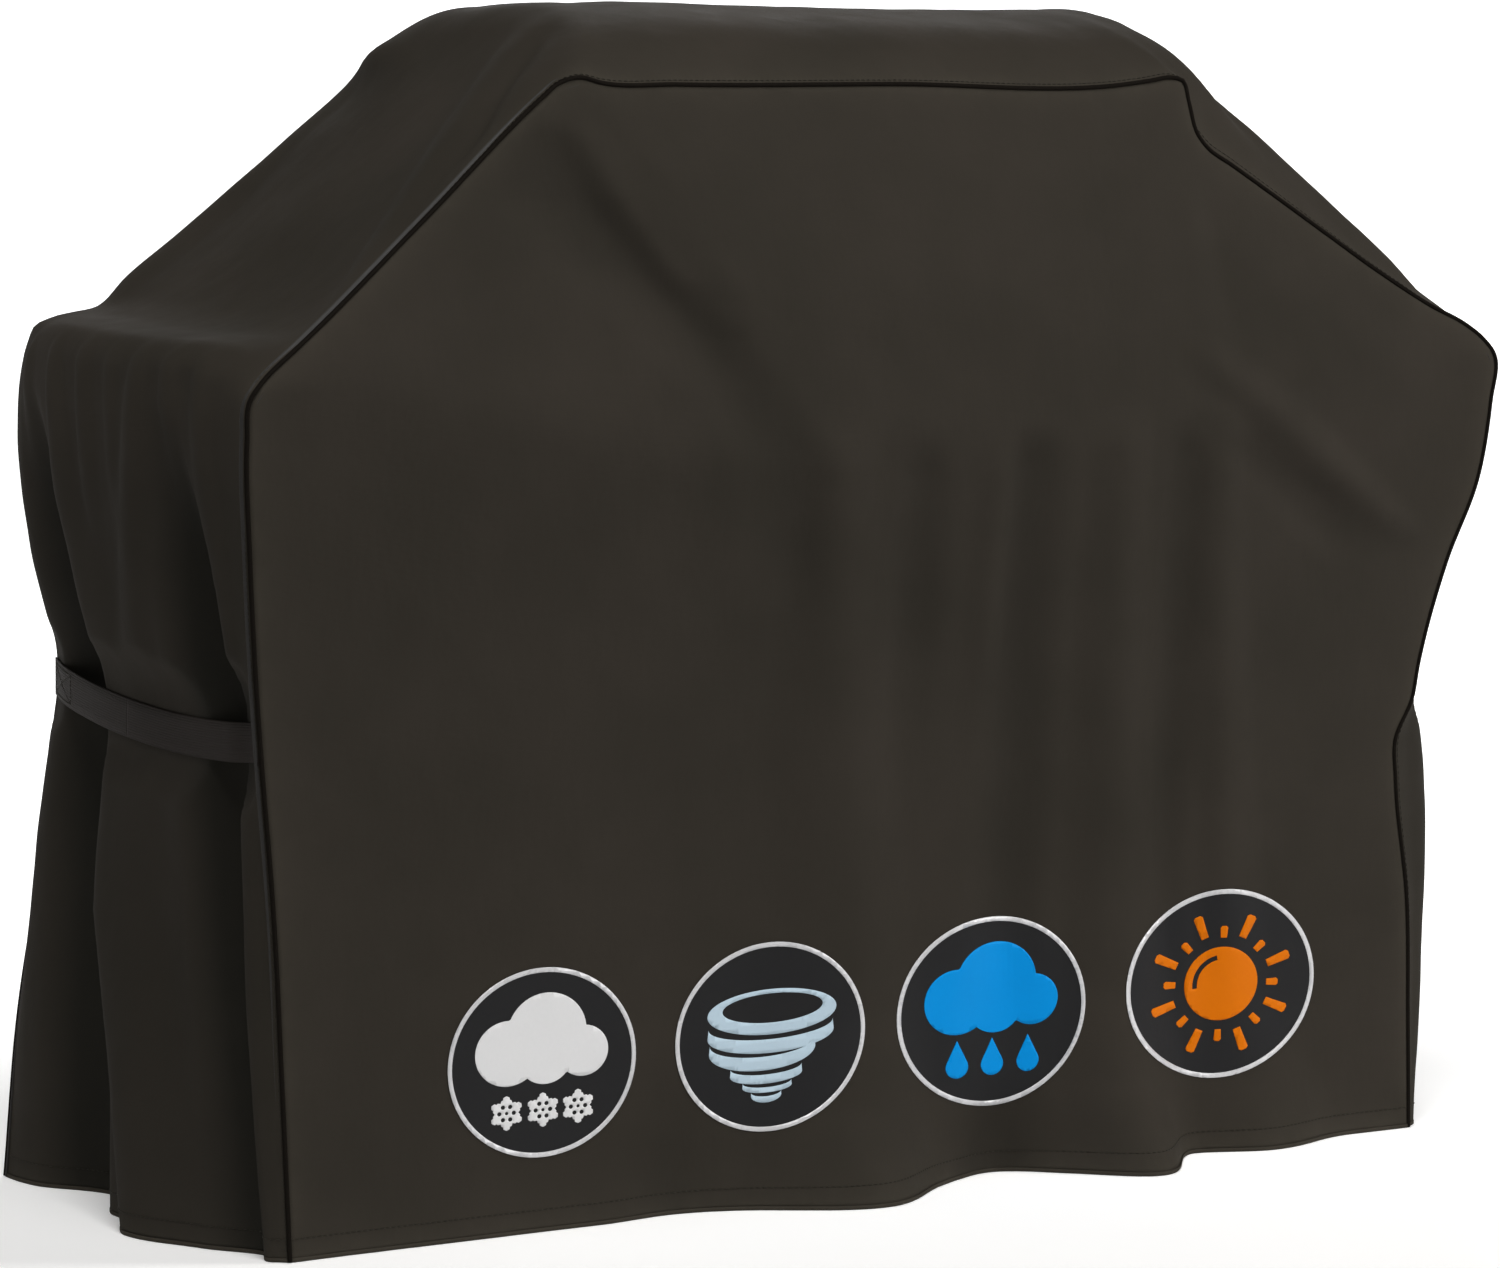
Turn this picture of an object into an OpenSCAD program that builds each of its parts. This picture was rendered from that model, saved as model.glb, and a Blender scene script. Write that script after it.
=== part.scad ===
// Fitted cloth cover for a free-standing barbecue grill, standing open at the bottom over its grill.
// Millimetres. The origin is on the floor under the middle of the cover.
// +X is the cover's right, +Y its back and +Z up. The cloth is drawn thicker than the real one.

/* [Cover] */
// Width over the shoulders, piping included
cover_w = 1473; // [1380:1:1560]
// Depth over the shoulders
cover_d = 610; // [560:1:660]
// Height from the hem to the roof
cover_h = 1168; // [1150:1:1190]
// Height of the fold between the sides and the slopes
shoulder_h = 808; // [780:1:840]
// Height of the seam between the front panel and the roof
roof_seam_h = 1096; // [1080:1:1110]
// Width of the roof between the slopes
roof_w = 716; // [640:1:800]
// Depth of the roof between its front and back seams
roof_d = 566; // [540:1:580]
// Depth of the nearly flat middle of the roof
ridge_d = 240; // [200:1:280]

/* [Drape] */
// Width at the hem
hem_w = 1360; // [1330:1:1380]
// Width at the waist, where the straps draw the cloth in
waist_w = 1380; // [1370:1:1400]
// Height of the waist, just above the straps
waist_h = 515; // [512:1:560]
// Depth at the hem, at the corners
hem_d = 550; // [530:1:580]
// How far the cloth's largest fold stands out at the hem
fold_out = 85; // [60:1:90]

/* [Cloth] */
// Thickness of a panel
panel_t = 2; // [1.5:0.1:2.5]
// Thickness of the turned-in hem
hem_t = 1.6; // [1:0.1:2]
// Height of the turned-in hem
hem_h = 25; // [20:1:35]
// Radius of the piping cord
piping_r = 2; // [1.5:0.1:2.5]
// Width of the tape over the seams inside
tape_w = 16; // [12:1:20]
// Thickness of the tape over the seams inside
tape_t = 1; // [0.8:0.1:1.2]

/* [Straps] */
// Width of the webbing
strap_w = 38; // [34:1:40]
// Thickness of the webbing
strap_t = 1.6; // [1.4:0.1:1.8]
// Height of the middle of the straps
strap_h = 490; // [485:1:492]
// Length that is sewn down beside the front seam
anchor_l = 30; // [24:1:36]
// Where the strap's end starts, behind the cover's middle
tail_y = 115; // [100:1:125]
// Length of the strap's end
tail_l = 150; // [140:1:155]
// Length of the hook pad and of the loop pad under it
pad_l = 110; // [100:1:120]
// Thickness of each pad
pad_t = 1.6; // [1.2:0.1:1.7]

/* [Badges] */
// Width of a badge
badge_w = 224; // [200:1:240]
// Height of a badge
badge_h = 187; // [170:1:190]
// Height of the badges' middles
badge_z = 168; // [160:1:180]
// Middles of the four badges, from left to right
badge_x = [-410, -150, 113, 398]; // [-450:1:450]
// Width of the silver ring
ring_w = 5; // [3:1:7]
// Thickness of one printed film
film_t = 0.4; // [0.3:0.05:0.5]

/* [Hidden] */

CLOTH = [0.20, 0.185, 0.165];
TRIM = [0.11, 0.10, 0.09];
WEBBING = [0.13, 0.115, 0.10];
PAD = [0.07, 0.07, 0.07];
BADGE = [0.165, 0.165, 0.165];
SILVER = [0.80, 0.80, 0.82];
SNOW = [0.82, 0.82, 0.82];
WIND = [0.69, 0.77, 0.82];
RAIN = [0.0, 0.55, 0.83];
SUN = [0.82, 0.43, 0.0];

gap = 0.3;               // clearance between pieces that move past each other
touch = 0.05;            // clearance between pieces that are sewn or stuck together
far = 2000;              // longer than the whole cover
piping_off = 0.72 * (piping_r + 0.1);
shoulder_w = cover_w - 2 * (piping_r + 1.25 * piping_off);
COLUMNS = 44;            // cells across a draped panel
FOLD_ROWS = 7;           // cells between the hem band and the waist
FLARE_H = 140;           // height over which the folds open out above the hem
FLARE_SHARE = 0.5;       // share of a fold's depth that is in that flare
ARC_STEPS = 8;           // flats along each rounded edge of the roof

// Folds of the front panel at the hem: middle, half width, and how far out in shares of fold_out.
FOLDS = [[-250, 90, -0.10], [-55, 170, 0.88], [150, 85, -0.30], [285, 115, 1.0], [470, 90, 0.15]];

// Half the width and half the depth of the cover at a height.
function half_w(z) = lookup(z, [
    [0, hem_w / 2], [waist_h, waist_w / 2], [shoulder_h, shoulder_w / 2], [roof_seam_h, roof_w / 2]
]);
function half_d(z) = lookup(z, [[0, hem_d / 2], [shoulder_h, cover_d / 2], [roof_seam_h, roof_d / 2]]);

// The drape: smooth bumps that flare at the hem and fade out up to the waist.
function bump(t) = abs(t) < 1 ? (1 + cos(180 * t)) / 2 : 0;
function sum(v, i = 0) = i < len(v) ? v[i] + sum(v, i + 1) : 0;
function fade(z) = (1 - FLARE_SHARE) * bump(z / waist_h) + FLARE_SHARE * bump(z / FLARE_H);
function fold(x, z) = fold_out * fade(z) * sum([for (f = FOLDS) f[2] * bump((x - f[0]) / f[1])]);
function front_y(x, z) = -half_d(z) - fold(x, z);

// Lines in a plane: unit vector, left normal, and an outline moved t to its left.
function unit(v) = v / norm(v);
function left_of(a, b) = let (d = unit(b - a)) [-d[1], d[0]];
function mitre(a, b, c, t) = let (n = left_of(a, b), m = unit(n + left_of(b, c))) b + m * t / (m * n);
function level_cut(p, n, t) = p + [t / n[0], 0];

// The side outline from hem to roof seam, outside and inside of the cloth.
hem_pt = [hem_w / 2, 0];
waist_pt = [waist_w / 2, waist_h];
shoulder_pt = [shoulder_w / 2, shoulder_h];
slope_pt = [roof_w / 2, roof_seam_h];
function inner_side(t) = [
    level_cut(hem_pt, left_of(hem_pt, waist_pt), t),
    mitre(hem_pt, waist_pt, shoulder_pt, t),
    mitre(waist_pt, shoulder_pt, slope_pt, t),
    level_cut(slope_pt, left_of(shoulder_pt, slope_pt), t)
];

// The roof's arched section and its rounded ends, both moved in by t.
ridge_r = (pow((roof_d - ridge_d) / 2, 2) + pow(cover_h - roof_seam_h, 2)) / (2 * (cover_h - roof_seam_h));
end_r = cover_h - roof_seam_h;
function arc(c, r, a, b) = [for (i = [0:ARC_STEPS]) let (w = a + (b - a) * i / ARC_STEPS) c + r * [cos(w), sin(w)]];
function mirrored(p) = concat(p, [for (i = [len(p) - 1:-1:0]) [-p[i][0], p[i][1]]]);
function arch_outline(t) = let (c = [ridge_d / 2, cover_h - ridge_r], r = ridge_r - t)
    mirrored(arc(c, r, asin((roof_seam_h - c[1]) / r), 90));
function end_outline(t) = mirrored(arc([roof_w / 2 - end_r, roof_seam_h], end_r - t, 0, 90));

// The front seam line as the piping follows it.
SEAM = mirrored([hem_pt, waist_pt, shoulder_pt, slope_pt]);
function seam_pt(i) = let (
    p = i == 0 ? SEAM[0] - left_of(SEAM[0], SEAM[1]) * piping_off
      : i == len(SEAM) - 1 ? SEAM[i] - left_of(SEAM[i - 1], SEAM[i]) * piping_off
      : mitre(SEAM[i - 1], SEAM[i], SEAM[i + 1], -piping_off)
) [p[0], -half_d(SEAM[i][1]) - piping_off, p[1]];

// Right strap: its inside face, which clears the piping, and the start of its sewn end and of its free part.
strap_top = strap_h + strap_w / 2;
strap_x = half_w(strap_top) + piping_off + piping_r + gap;
anchor_y = -half_d(strap_h) + panel_t;
free_y = anchor_y + anchor_l + gap;
pad_y = tail_y + tail_l - pad_l - 5;

// Extrusions: a section in X and Z runs along Y, and a section in Y and Z runs along X.
module along_y(p) rotate([90, 0, 0]) linear_extrude(far, center = true) polygon(p);
module along_x(p) rotate([90, 0, 90]) linear_extrude(far, center = true) polygon(p);

// Everything between the front and back panels, moved in by t.
module between_panels(t) {
    levels = [0, shoulder_h, roof_seam_h];
    along_x(mirrored([for (z = levels) [half_d(z) - t, z]]));
}

// A draped layer that follows the front, from `out` in front of the panel's face and t thick.
module draped_layer(rows, out, t) {
    nc = COLUMNS + 1;
    nr = len(rows);
    outer = [for (z = rows, j = [0:COLUMNS])
        let (x = (2 * j / COLUMNS - 1) * half_w(z)) [x, front_y(x, z) - out - t, z]];
    inner = [for (p = outer) p + [0, t, 0]];
    n = nc * nr;
    faces = concat(
        [for (i = [0:nr - 2], j = [0:nc - 2]) each let (a = i * nc + j)
            [[a, a + nc, a + nc + 1], [a, a + nc + 1, a + 1],
             [n + a, n + a + nc + 1, n + a + nc], [n + a, n + a + 1, n + a + nc + 1]]],
        [for (j = [0:nc - 2]) each let (b = j, c = (nr - 1) * nc + j)
            [[b, b + 1, n + b + 1, n + b], [c + 1, c, n + c, n + c + 1]]],
        [for (i = [0:nr - 2]) each let (b = i * nc, c = i * nc + nc - 1)
            [[b + nc, b, n + b, n + b + nc], [c, c + nc, n + c + nc, n + c]]]
    );
    polyhedron(concat(outer, inner), faces, convexity = 10);
}
FOLD_LEVELS = concat([0], [for (i = [0:FOLD_ROWS]) hem_h + (waist_h - hem_h) * pow(i / FOLD_ROWS, 1.3)]);
FILM_LEVELS = [for (i = [0:FOLD_ROWS - 1]) FOLD_LEVELS[i]];
module panel_face() color(CLOTH) draped_layer(concat(FOLD_LEVELS, [shoulder_h, roof_seam_h]), -panel_t, panel_t);
module hem_band() color(CLOTH) intersection() {
    draped_layer([0, hem_h], -panel_t - touch - hem_t, hem_t);
    along_y([
        [-hem_w / 2 + 2 * panel_t + hem_t, -1], [hem_w / 2 - 2 * panel_t - hem_t, -1],
        [hem_w / 2 - 2 * panel_t - hem_t, hem_h + 1], [-hem_w / 2 + 2 * panel_t + hem_t, hem_h + 1]
    ]);
}
module front_panel() panel_face();
module back_panel() rotate([0, 0, 180]) panel_face();
module front_hem() hem_band();
module back_hem() rotate([0, 0, 180]) hem_band();

module roof_panel() color(CLOTH) difference() {
    intersection() {
        along_x(arch_outline(0));
        along_y(end_outline(0));
    }
    intersection() {
        along_x(concat(arch_outline(panel_t), [[-roof_d / 2 + panel_t, roof_seam_h - 9], [roof_d / 2 - panel_t, roof_seam_h - 9]]));
        along_y(concat(end_outline(panel_t), [[-roof_w / 2 + panel_t, roof_seam_h - 9], [roof_w / 2 - panel_t, roof_seam_h - 9]]));
    }
}

module side_strip(from, to, t_out, t_in, end_gap) intersection() {
    outside = inner_side(t_out);
    inside = inner_side(t_in);
    along_y(concat([for (i = [from:to]) outside[i]], [for (i = [to:-1:from]) inside[i]]));
    between_panels(end_gap);
}
module right_slope_panel() color(CLOTH) side_strip(2, 3, 0, panel_t, panel_t);
module left_slope_panel() mirror([1, 0, 0]) right_slope_panel();
module right_side_panel() color(CLOTH) side_strip(0, 2, 0, panel_t, panel_t);
module left_side_panel() mirror([1, 0, 0]) right_side_panel();
module right_hem() color(CLOTH) intersection() {
    side_strip(0, 1, panel_t + touch, panel_t + touch + hem_t, panel_t + touch);
    translate([-far / 2, -far / 2, 0]) cube([far, far, hem_h]);
}
module left_hem() mirror([1, 0, 0]) right_hem();

// A cord through points, with a slightly larger ball at each bend.
module cord_through(p) {
    for (i = [0:len(p) - 2]) {
        v = p[i + 1] - p[i];
        translate(p[i]) rotate([0, acos(v[2] / norm(v)), atan2(v[1], v[0])])
            cylinder(h = norm(v), r = piping_r, $fn = 24);
    }
    for (i = [1:len(p) - 2]) translate(p[i]) sphere(r = piping_r + touch, $fn = 24);
}
module front_piping() color(TRIM) difference() {
    cord_through([for (i = [0:len(SEAM) - 1]) seam_pt(i)]);
    translate([-far / 2, -far / 2, -far + 0.5]) cube([far, far, far]);
}
module back_piping() rotate([0, 0, 180]) front_piping();

// The tape over the seam allowance, inside the side and slope panels and under the roof seam.
module front_seam_tape() color(TRIM) {
    t_out = panel_t + hem_t + 2 * touch;
    for (side = [0, 1]) mirror([side, 0, 0]) intersection() {
        side_strip(0, 3, t_out, t_out + tape_t, panel_t + touch);
        difference() {
            between_panels(panel_t + hem_t + 2 * touch);
            between_panels(panel_t + hem_t + 2 * touch + tape_w);
        }
        translate([0, -far, 1]) cube([far, far, roof_seam_h - tape_w]);
    }
    translate([-roof_w / 2 + tape_w, -half_d(roof_seam_h) + panel_t + 2, roof_seam_h - tape_w])
        cube([roof_w - 2 * tape_w, tape_t, tape_w - touch]);
}
module back_seam_tape() rotate([0, 0, 180]) front_seam_tape();

// The right strap is sewn down beside the front seam, crosses the side panel and sticks to a pad by the back
// seam. It turns at its sewn end and at the start of its own end, each time about its outside face.
module strap_bar(y, l) color(WEBBING) translate([strap_x, y, strap_top - strap_w]) cube([strap_t, l, strap_w]);
module strap_pad(x) color(PAD) translate([x, pad_y, strap_top - strap_w + 2]) cube([pad_t, pad_l, strap_w - 4]);
module right_strap_anchor() strap_bar(anchor_y, anchor_l);
module right_strap() strap_bar(free_y, tail_y - gap - free_y);
module right_strap_end() strap_bar(tail_y, tail_l);
module right_hook_pad() strap_pad(strap_x - pad_t);
module right_loop_pad() strap_pad(half_w(strap_top) + touch);
module left_strap_anchor() mirror([1, 0, 0]) right_strap_anchor();
module left_strap() mirror([1, 0, 0]) right_strap();
module left_strap_end() mirror([1, 0, 0]) right_strap_end();
module left_hook_pad() mirror([1, 0, 0]) right_hook_pad();
module left_loop_pad() mirror([1, 0, 0]) right_loop_pad();

// Badges. Each outline is drawn in a circle of radius 1 and stretched to the badge's oval.
function on_badge(k, p) = [badge_x[k] + p[0] * badge_w / 2, badge_z + p[1] * badge_h / 2];
function ring_pts(c, a, b, n = 32) = [for (i = [0:n - 1]) c + [a * cos(360 * i / n), b * sin(360 * i / n)]];
function turned(p, a) = [p[0] * cos(a) - p[1] * sin(a), p[0] * sin(a) + p[1] * cos(a)];

// A film on the folded front: the shapes drawn by the children, in layer 0 (disc) or 1 (print).
module film(layer) intersection() {
    draped_layer(FILM_LEVELS, touch + layer * (film_t + touch), film_t);
    rotate([90, 0, 0]) linear_extrude(far / 2) children();
}
module badge_shape(k, p) polygon([for (q = p) on_badge(k, q)]);
module badge_disc(k) color(BADGE) film(0) badge_shape(k, ring_pts([0, 0], 1, 1, 48));
module badge_ring(k) color(SILVER) film(1) difference() {
    badge_shape(k, ring_pts([0, 0], 0.985, 0.985, 48));
    badge_shape(k, ring_pts([0, 0], 0.985 - 2 * ring_w / badge_w, 0.985 - 2 * ring_w / badge_w, 48));
}
module snow_badge_disc() badge_disc(0);
module tornado_badge_disc() badge_disc(1);
module rain_badge_disc() badge_disc(2);
module sun_badge_disc() badge_disc(3);
module snow_badge_ring() badge_ring(0);
module tornado_badge_ring() badge_ring(1);
module rain_badge_ring() badge_ring(2);
module sun_badge_ring() badge_ring(3);

// A cloud: a flat-bottomed bar with four puffs.
CLOUD = [[-0.44, 0.20, 0.27], [-0.14, 0.42, 0.32], [0.24, 0.36, 0.26], [0.45, 0.17, 0.24]];
module cloud(k) {
    for (c = CLOUD) badge_shape(k, ring_pts([c[0], c[1]], c[2], c[2]));
    badge_shape(k, [[-0.46, -0.06], [0.46, -0.06], [0.46, 0.3], [-0.46, 0.3]]);
}
module snow_cloud() color(SNOW) film(1) cloud(0);
module rain_cloud() color(RAIN) film(1) cloud(2);

// A snowflake: six arms, each with one pair of barbs.
function bar_pts(c, from, to, w, a) = [for (q = [[from, -w], [to, -w], [to, w], [from, w]]) c + turned(q, a)];
module flake(k, c) for (a = [0:60:300]) {
    badge_shape(k, bar_pts(c, 0, 0.15, 0.014, a));
    for (b = [-50, 50]) badge_shape(k, bar_pts(c + turned([0.075, 0], a), 0, 0.055, 0.012, a + b));
}
module snowflakes() color(SNOW) film(1) for (x = [-0.38, 0, 0.38]) flake(0, [x, -0.42]);

// A raindrop: a round belly drawn up to a point.
function drop_pts(c, r) = concat([for (a = [-210:20:30]) c + r * [cos(a), sin(a)]], [c + [0, 2.4 * r]]);
module raindrops() color(RAIN) film(1) for (x = [-0.38, 0, 0.38]) badge_shape(2, drop_pts([x, -0.50], 0.10));

// A tornado: an open oval above a stack of thinning crescents that shrink towards the ground.
TORNADO = [[0.0, 0.16, 0.50, 0.13], [0.02, -0.02, 0.42, 0.11], [0.06, -0.17, 0.33, 0.09], [0.0, -0.31, 0.24, 0.07],
    [-0.05, -0.43, 0.16, 0.055]];
module crescent(c) difference() {
    badge_shape(1, ring_pts([c[0], c[1]], c[2], c[3]));
    badge_shape(1, ring_pts([c[0], c[1] + 0.6 * c[3]], c[2] * 0.98, c[3]));
}
module tornado() color(WIND) film(1) {
    difference() {
        badge_shape(1, ring_pts([0.05, 0.36], 0.58, 0.17));
        badge_shape(1, ring_pts([0.05, 0.39], 0.49, 0.11));
    }
    for (c = TORNADO) crescent(c);
    badge_shape(1, ring_pts([-0.07, -0.53], 0.07, 0.03));
}

// The sun: a disc, and sixteen rays that are long and short in turn.
module sun_disc() color(SUN) film(1) badge_shape(3, ring_pts([0, 0], 0.31, 0.31, 40));
module sun_rays() color(SUN) film(1) for (i = [0:15])
    badge_shape(3, bar_pts([0, 0], 0.42, i % 2 == 0 ? 0.68 : 0.54, 0.03, i * 22.5));

front_panel();
back_panel();
roof_panel();
left_slope_panel();
right_slope_panel();
left_side_panel();
right_side_panel();
front_piping();
back_piping();
front_seam_tape();
back_seam_tape();
front_hem();
back_hem();
left_hem();
right_hem();
left_strap_anchor();
right_strap_anchor();
left_loop_pad();
right_loop_pad();
left_strap();
right_strap();
left_strap_end();
right_strap_end();
left_hook_pad();
right_hook_pad();
snow_badge_disc();
tornado_badge_disc();
rain_badge_disc();
sun_badge_disc();
snow_badge_ring();
tornado_badge_ring();
rain_badge_ring();
sun_badge_ring();
snow_cloud();
snowflakes();
tornado();
rain_cloud();
raindrops();
sun_disc();
sun_rays();
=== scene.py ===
"""Looks of the grill cover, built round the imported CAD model.

Metres throughout, in the CAD frame: +X is the cover's right, +Y its back, +Z up, the floor at z = 0.
The outlines below are in millimetres, and mm() turns them into metres.
"""
import math

import bmesh
import bpy
import numpy as np
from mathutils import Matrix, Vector, noise
from mathutils.bvhtree import BVHTree


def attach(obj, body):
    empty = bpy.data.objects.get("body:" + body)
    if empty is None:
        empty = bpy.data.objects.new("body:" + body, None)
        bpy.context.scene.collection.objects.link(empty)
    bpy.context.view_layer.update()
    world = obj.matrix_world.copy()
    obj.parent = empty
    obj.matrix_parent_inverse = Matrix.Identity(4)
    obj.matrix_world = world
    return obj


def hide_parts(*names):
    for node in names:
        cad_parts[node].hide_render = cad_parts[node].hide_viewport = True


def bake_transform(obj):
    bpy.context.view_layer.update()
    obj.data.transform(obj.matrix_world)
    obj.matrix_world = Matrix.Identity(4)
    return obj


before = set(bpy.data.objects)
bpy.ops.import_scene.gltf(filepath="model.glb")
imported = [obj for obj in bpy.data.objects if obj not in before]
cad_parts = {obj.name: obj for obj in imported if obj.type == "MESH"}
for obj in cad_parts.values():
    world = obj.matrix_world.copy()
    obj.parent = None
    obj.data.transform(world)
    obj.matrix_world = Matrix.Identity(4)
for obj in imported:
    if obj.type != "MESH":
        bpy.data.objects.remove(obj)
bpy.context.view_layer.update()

# ------------------------------------------------------------------ sizes
CLOTH_T = 0.0011  # thickness of the coated cloth
PIPING_R = 0.0022
PIPING_SIDES = 10
HEM_H = 0.025
STRAP_W = 0.038
STRAP_T = 0.0015
STRAP_TIP = 0.242  # where the strap ends, beside the back seam
PAD_Y = (0.150, 0.238)  # where the hook and loop strips start and end
TAPE_W = 0.016
STITCH = {"pitch": 0.0062, "length": 0.0044, "radius": 0.00042, "lift": 0.0004}
BOX_STITCH = {"pitch": 0.0038, "length": 0.0028, "radius": 0.0004, "lift": 0.0003}
CLOTH_LOW = 0.0008  # the cloth's lowest point
TRIM_LOW = 0.0003  # and that of the piping and the turned-in hem
DISC_LIFT = 0.00045  # how far the badges' dark discs, prints and rings stand off the cloth
PRINT_LIFT = 0.0008
RING_LIFT = 0.00085
SHELF_SHADE_Z = 0.79  # painted shade: the side cloth is darkened below this height, where it hangs under the shelf

# Places along Y of the cross-sections between the two seams, and how many samples the cloth is made of.
STATION_Y = [-250, -120, 30, 160, 250]
SEAM_KNOTS = [-300, -250, -120, 30, 160, 250, 285]
COLUMNS = 112
SIDE_ROWS = 130
SLOPE_ROWS = 66
ROOF_ROWS = 104
PANEL_COLUMNS = 200

# The front and back seams' place along Y, by height.
FRONT_Y = [[0, -275], [343, -288], [512, -298], [660, -306], [770, -313], [815, -317], [855, -313],
    [973, -300], [1091, -284], [1200, -284]]
BACK_Y = [[0, 278], [343, 285], [512, 288], [770, 297], [855, 294], [973, 288], [1050, 282],
    [1091, 280], [1200, 280]]

# Cross-sections of the side, slope and roof strip, from the front seam to the back one. Each has five
# stretches of (x, z): left side, left slope, roof, right slope, right side.
SECTIONS = [
    [
        [[-674, 0], [-685, 174], [-697, 343], [-710, 456], [-716, 512], [-728, 660], [-734, 770], [-732, 807],
            [-720, 822], [-701, 838], [-690, 846]],
        [[-678, 855], [-532, 973], [-400, 1080], [-383, 1092], [-372, 1096], [-358, 1098]],
        [[-336, 1093], [-250, 1091], [0, 1091], [289, 1091], [314, 1094], [341, 1097], [354, 1094]],
        [[360, 1072], [368, 1040], [381, 1025], [405, 1011], [456, 980], [523, 939], [589, 899], [655, 863]],
        [[703, 841], [722, 828], [739, 808], [737, 763], [724, 680], [688, 598], [656, 490], [650, 455],
            [630, 413], [633, 371], [654, 243], [661, 120], [667, 0]],
    ],
    [
        [[-690, 0], [-698, 172], [-704, 343], [-711, 456], [-716, 512], [-730, 640], [-737, 750], [-737, 806],
            [-731, 832], [-716, 846], [-690, 854]],
        [[-660, 862], [-632, 878], [-560, 940], [-465, 1027], [-392, 1095], [-362, 1113], [-342, 1121]],
        [[-300, 1124], [0, 1124], [280, 1124], [330, 1126]],
        [[344, 1120], [378, 1101], [480, 1025], [594, 942], [656, 901], [674, 885]],
        [[706, 860], [722, 836], [735, 806], [734, 750], [722, 665], [704, 590], [688, 512], [688, 456],
            [698, 400], [702, 343], [699, 172], [690, 0]],
    ],
    [
        [[-706, 0], [-703, 172], [-706, 343], [-709, 456], [-712, 512], [-728, 640], [-738, 750], [-739, 812],
            [-735, 838], [-722, 851], [-698, 857]],
        [[-660, 862], [-628, 873], [-598, 893], [-528, 956], [-420, 1056], [-338, 1132], [-318, 1150],
            [-296, 1162]],
        [[-240, 1166], [0, 1163], [260, 1161], [326, 1162]],
        [[366, 1160], [394, 1142], [426, 1106], [507, 1023], [599, 934], [639, 893], [668, 872]],
        [[700, 860], [724, 834], [736, 804], [735, 750], [726, 665], [714, 590], [704, 512], [704, 456],
            [709, 400], [712, 343], [712, 172], [708, 0]],
    ],
    [
        [[-698, 0], [-695, 172], [-694, 343], [-693, 456], [-697, 512], [-715, 640], [-729, 750], [-731, 815],
            [-728, 842], [-716, 855], [-692, 861]],
        [[-652, 866], [-618, 877], [-588, 897], [-515, 957], [-412, 1050], [-335, 1126], [-315, 1146],
            [-290, 1162]],
        [[-230, 1166], [0, 1164], [250, 1163], [316, 1163]],
        [[354, 1160], [390, 1144], [432, 1104], [520, 1018], [604, 930], [640, 890], [662, 870]],
        [[694, 858], [720, 834], [732, 804], [732, 750], [723, 665], [710, 590], [699, 512], [698, 456],
            [702, 400], [704, 343], [702, 172], [700, 0]],
    ],
    [
        [[-684, 0], [-683, 172], [-677, 343], [-672, 456], [-674, 512], [-696, 640], [-710, 750], [-711, 812],
            [-706, 840], [-695, 855], [-672, 863]],
        [[-638, 868], [-604, 879], [-574, 900], [-497, 953], [-403, 1035], [-340, 1093], [-332, 1118],
            [-304, 1136], [-266, 1154]],
        [[-210, 1163], [0, 1160], [240, 1157], [302, 1158]],
        [[340, 1153], [376, 1135], [418, 1092], [510, 1000], [605, 916], [632, 882], [654, 866]],
        [[684, 855], [712, 832], [727, 804], [727, 750], [717, 665], [703, 590], [692, 512], [690, 456],
            [691, 400], [692, 343], [688, 172], [688, 0]],
    ],
    [
        [[-692, 0], [-682, 172], [-664, 343], [-645, 456], [-639, 512], [-666, 640], [-679, 750], [-674, 808],
            [-667, 834], [-661, 847], [-644, 856]],
        [[-620, 862], [-594, 868], [-562, 894], [-500, 938], [-398, 1012], [-295, 1088], [-279, 1100],
            [-262, 1113], [-232, 1124]],
        [[-190, 1128], [0, 1125], [240, 1124], [315, 1124]],
        [[345, 1117], [372, 1096], [415, 1052], [505, 968], [585, 895], [612, 872], [636, 860]],
        [[668, 850], [698, 830], [714, 802], [714, 750], [704, 665], [690, 590], [676, 512], [674, 456],
            [675, 400], [675, 343], [674, 172], [680, 0]],
    ],
    [
        [[-690, 0], [-670, 172], [-634, 343], [-606, 456], [-600, 512], [-625, 640], [-642, 750], [-641, 800],
            [-634, 824], [-624, 835], [-610, 843]],
        [[-590, 848], [-566, 858], [-490, 905], [-400, 965], [-300, 1045], [-272, 1086], [-262, 1094],
            [-250, 1094]],
        [[-230, 1091], [0, 1091], [260, 1091], [318, 1093]],
        [[345, 1090], [362, 1068], [400, 1030], [490, 950], [570, 882], [598, 862], [622, 850]],
        [[650, 842], [672, 826], [684, 798], [682, 750], [674, 665], [662, 590], [652, 512], [650, 456],
            [652, 400], [654, 343], [662, 172], [672, 0]],
    ],
]

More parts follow.
